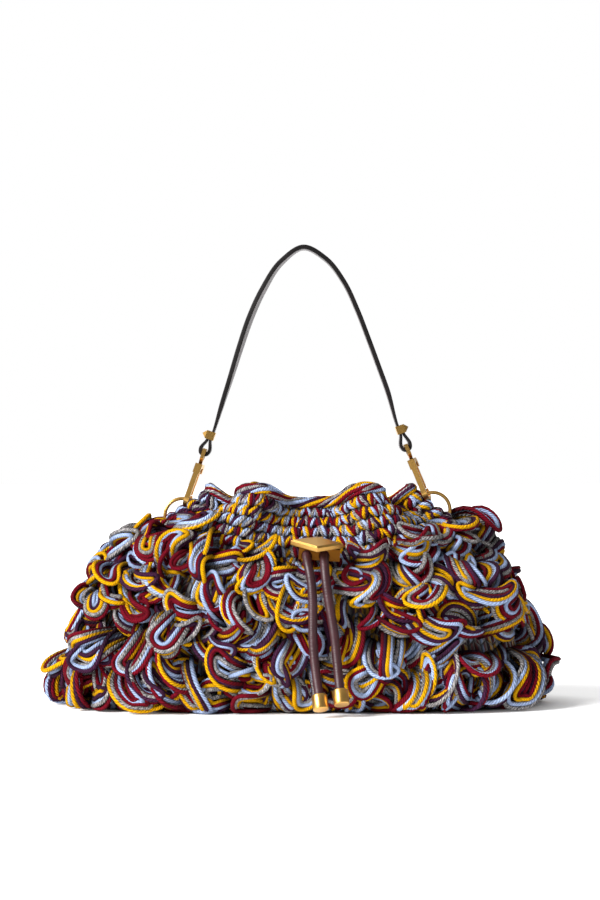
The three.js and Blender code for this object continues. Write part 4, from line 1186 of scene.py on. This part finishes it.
def plated(solid, material):
    """Shows a cast solid of the frame as it is, with soft edges and its plating."""
    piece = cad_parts[solid]
    piece.data.materials.clear()
    piece.data.materials.append(material)
    soft_edges(piece, CAST_EDGE)


plate_axis = (
    math.sin(TOGGLE_ROLL),
    -math.sin(TOGGLE_TILT) * math.cos(TOGGLE_ROLL),
    math.cos(TOGGLE_TILT) * math.cos(TOGGLE_ROLL),
)
plate = turned("faceted_plate", PLATE_PROFILE, PLATE_SIDES, np.array(TOGGLE_AT) * MM, plate_axis)
soft_edges(plate, PLATE_EDGE)
dressed(plate, gold("plate_gold", tarnish_and_shade=0.1, satin=0.27), "toggle_plate")
# The block is painted dark brown all over, as shade under the plate.
plated("toggle_block", gold("block_gold_painted_shade", tarnish_and_shade=3.0, satin=0.3))

# Handle strap: two layers of near-black leather glued back to back, with painted edges and a paler inside.
# Each end is pared thin, folds round a swivel eye and goes back up into a keeper. Points across the bag and
# up it are in millimetres.
STRAP_WIDTH = 12 * MM
STRAP_THICKNESS = {"end": 1.7 * MM, "fold": 2.3 * MM, "arch": 3 * MM}
STRAP_TWIST = math.radians(-9)
STRAP_STATIONS = 420
STRAP_ARCH = [
    (-52.4, 199.2), (-46.2, 218.4), (-40.1, 238), (-33.4, 257.6), (-24.6, 276.8), (-12.4, 295.2),
    (2.4, 304.9),
    (17.2, 297.2), (29.6, 281.4), (38.4, 262.8), (45.6, 244.2), (52.4, 225.8), (59, 207.4),
]
STRAP_ENDS = (
    {"out": -1, "keeper": (-59.9, 179), "eye": (-63.7, 169), "lean": 19.6},
    {"out": 1, "keeper": (67.2, 183), "eye": (70.8, 172), "lean": -19.8},
)
LAYER_OFFSET = 1.08
LAYER_RISE = {"tail": 2, "below": -3.3, "above": 4.4}
FOLD_RADIUS = 2.95
FOLD_TURNS = (-90, -45, 0, 45, 90)
EDGE_ROUND = 0.5 * MM
EDGE_TURNS = (0, 30, 60, 90)
EDGE_GROOVE = 0.14 * MM
FACE_FLAT = 1.5 * MM
BLACK = (paint(22, 18, 19), paint(38, 32, 33))
INSIDE = (paint(78, 72, 74), paint(118, 110, 112))
EDGE_PAINT = (paint(13, 10, 10), paint(24, 19, 19))
OUTSIDE_FINISH, INSIDE_FINISH, EDGE_FINISH = 0, 1, 2
OUTSIDE_FACES = slice(9, 12)
INSIDE_FACES = slice(-3, None)


def folded_end(out, keeper, eye, lean):
    """Points of a folded strap end, from its tail in the keeper round the eye and up through the keeper."""
    lean = math.radians(lean)
    along = np.array([math.sin(lean), math.cos(lean)])
    inward = -out * np.array([math.cos(lean), -math.sin(lean)])

    def layer(side, rise):
        return np.add(keeper, side * LAYER_OFFSET * inward + LAYER_RISE[rise] * along)

    fold = [
        np.add(eye, FOLD_RADIUS * (math.sin(turn) * inward - math.cos(turn) * along))
        for turn in np.radians(FOLD_TURNS)
    ]
    return [layer(-1, "tail"), layer(-1, "below"), *fold, layer(1, "below"), layer(1, "above")]


def strap_section(half_thickness):
    """The strap's cross section at each station: how far across it and how far out, all round."""
    corners = []
    for across_side, out_side, start in ((1, -1, -90), (1, 1, 0), (-1, 1, 90), (-1, -1, 180)):
        turns = np.radians(start + np.array(EDGE_TURNS))
        across = across_side * (STRAP_WIDTH / 2 - EDGE_ROUND) + EDGE_ROUND * np.cos(turns)
        out = out_side * (half_thickness[:, None] - EDGE_ROUND) + EDGE_ROUND * np.sin(turns)
        corners.append((np.broadcast_to(across, out.shape), out))

    def single(across, out):
        return np.full((len(out), 1), across), out[:, None]

    def face(way):
        flat = way * (STRAP_WIDTH / 2 - FACE_FLAT)
        return single(flat, way * half_thickness), single(-flat, way * half_thickness)

    groove = STRAP_WIDTH / 2 - EDGE_GROOVE
    middle = np.zeros_like(half_thickness)
    order = [
        corners[0], single(groove, middle), corners[1], *face(1),
        corners[2], single(-groove, middle), corners[3], *face(-1),
    ]
    return [np.concatenate(part, axis=1) for part in zip(*order)]


left_end, right_end = (folded_end(**end) for end in STRAP_ENDS)
strap_points = np.array([*left_end, *STRAP_ARCH, *right_end[::-1]]) * MM
strap_points = np.insert(strap_points, 1, 0, axis=1)
strap_line = smooth_line(strap_points, STRAP_STATIONS)
point_run = run_along(strap_points)
line_run = run_along(strap_line)
passed = np.interp(line_run * point_run[-1] / line_run[-1], point_run, np.arange(len(strap_points)))
last_point = len(strap_points) - 1
points_from_end = np.minimum(passed, last_point - passed)
fold_end = 1 + len(FOLD_TURNS)
thickness_points = (0, 1, 2, fold_end, fold_end + 1, len(left_end) - 1, len(left_end))
thickness = [STRAP_THICKNESS[part] for part in ("end", "end", "fold", "fold", "end", "end", "arch")]
across, out = strap_section(np.interp(points_from_end, thickness_points, thickness) / 2)
up_left_leg = np.clip((passed - len(left_end)) / (last_point / 2 - len(left_end)), 0, 1)
turn = (STRAP_TWIST * np.sin(np.pi * up_left_leg))[:, None]
ways = unit(np.gradient(strap_line, axis=0))
backward = np.array([0.0, 1.0, 0.0])
deep = np.cos(turn) * backward + np.sin(turn) * np.cross(ways, backward)
face = np.cross(ways, deep)
strap_rings = strap_line[:, None] + across[..., None] * deep[:, None] + out[..., None] * face[:, None]
strap = ringed("leather_strap", strap_rings)
black = leather("black_leather", BLACK, pebbles=1500.0, depth=0.06 * MM, shine=(0.32, 0.46))
inside = leather("strap_inside", INSIDE, pebbles=1100.0, depth=0.12 * MM, shine=(0.4, 0.6))
painted = leather(
    "painted_edge", EDGE_PAINT, pebbles=2600.0, depth=0.02 * MM, shine=(0.4, 0.55), Specular_IOR_Level=0.3
)
dressed(strap, black, "handle_strap")
strap.data.materials.append(inside)
strap.data.materials.append(painted)
finishes = np.full(across.shape[1], EDGE_FINISH)
finishes[OUTSIDE_FACES] = OUTSIDE_FINISH
finishes[INSIDE_FACES] = INSIDE_FINISH
finishes = np.r_[np.tile(finishes, STRAP_STATIONS - 1), EDGE_FINISH, EDGE_FINISH]
strap.data.polygons.foreach_set("material_index", finishes.astype(np.int32))

# Handle fittings: keepers round the folded strap ends, swivel eyes, snap hooks with sprung gates, and the
# wire rings in the bag's shoulders, all in aged gold.
RING_POINTS = 96
WIRE_SIDES = 16


def wire_ring(name, solid):
    """A closed ring of round wire, upright in the plane of the handle, in the place of its solid."""
    middle, radius = ring_circle(solid)
    turn = 2 * np.pi * np.arange(RING_POINTS)[:, None] / RING_POINTS
    round_wire = 2 * np.pi * np.arange(WIRE_SIDES) / WIRE_SIDES
    reach = radius + RING_WIRE * np.cos(round_wire)
    deep = np.broadcast_to(RING_WIRE * np.sin(round_wire), (RING_POINTS, WIRE_SIDES))
    points = middle + np.stack([reach * np.cos(turn), deep, reach * np.sin(turn)], -1)
    return ringed(name, points, looped=True)


fitting_gold = gold("fitting_gold", tarnish_and_shade=0.3, satin=0.27)
for side_name in ("left", "right"):
    for name in ("strap_keeper", "swivel_eye", "hook", "hook_gate"):
        plated(f"{name}_{side_name}", fitting_gold)
    ring = wire_ring(f"wire_ring_{side_name}", f"shoulder_ring_{side_name}")
    dressed(ring, fitting_gold, f"shoulder_ring_{side_name}")
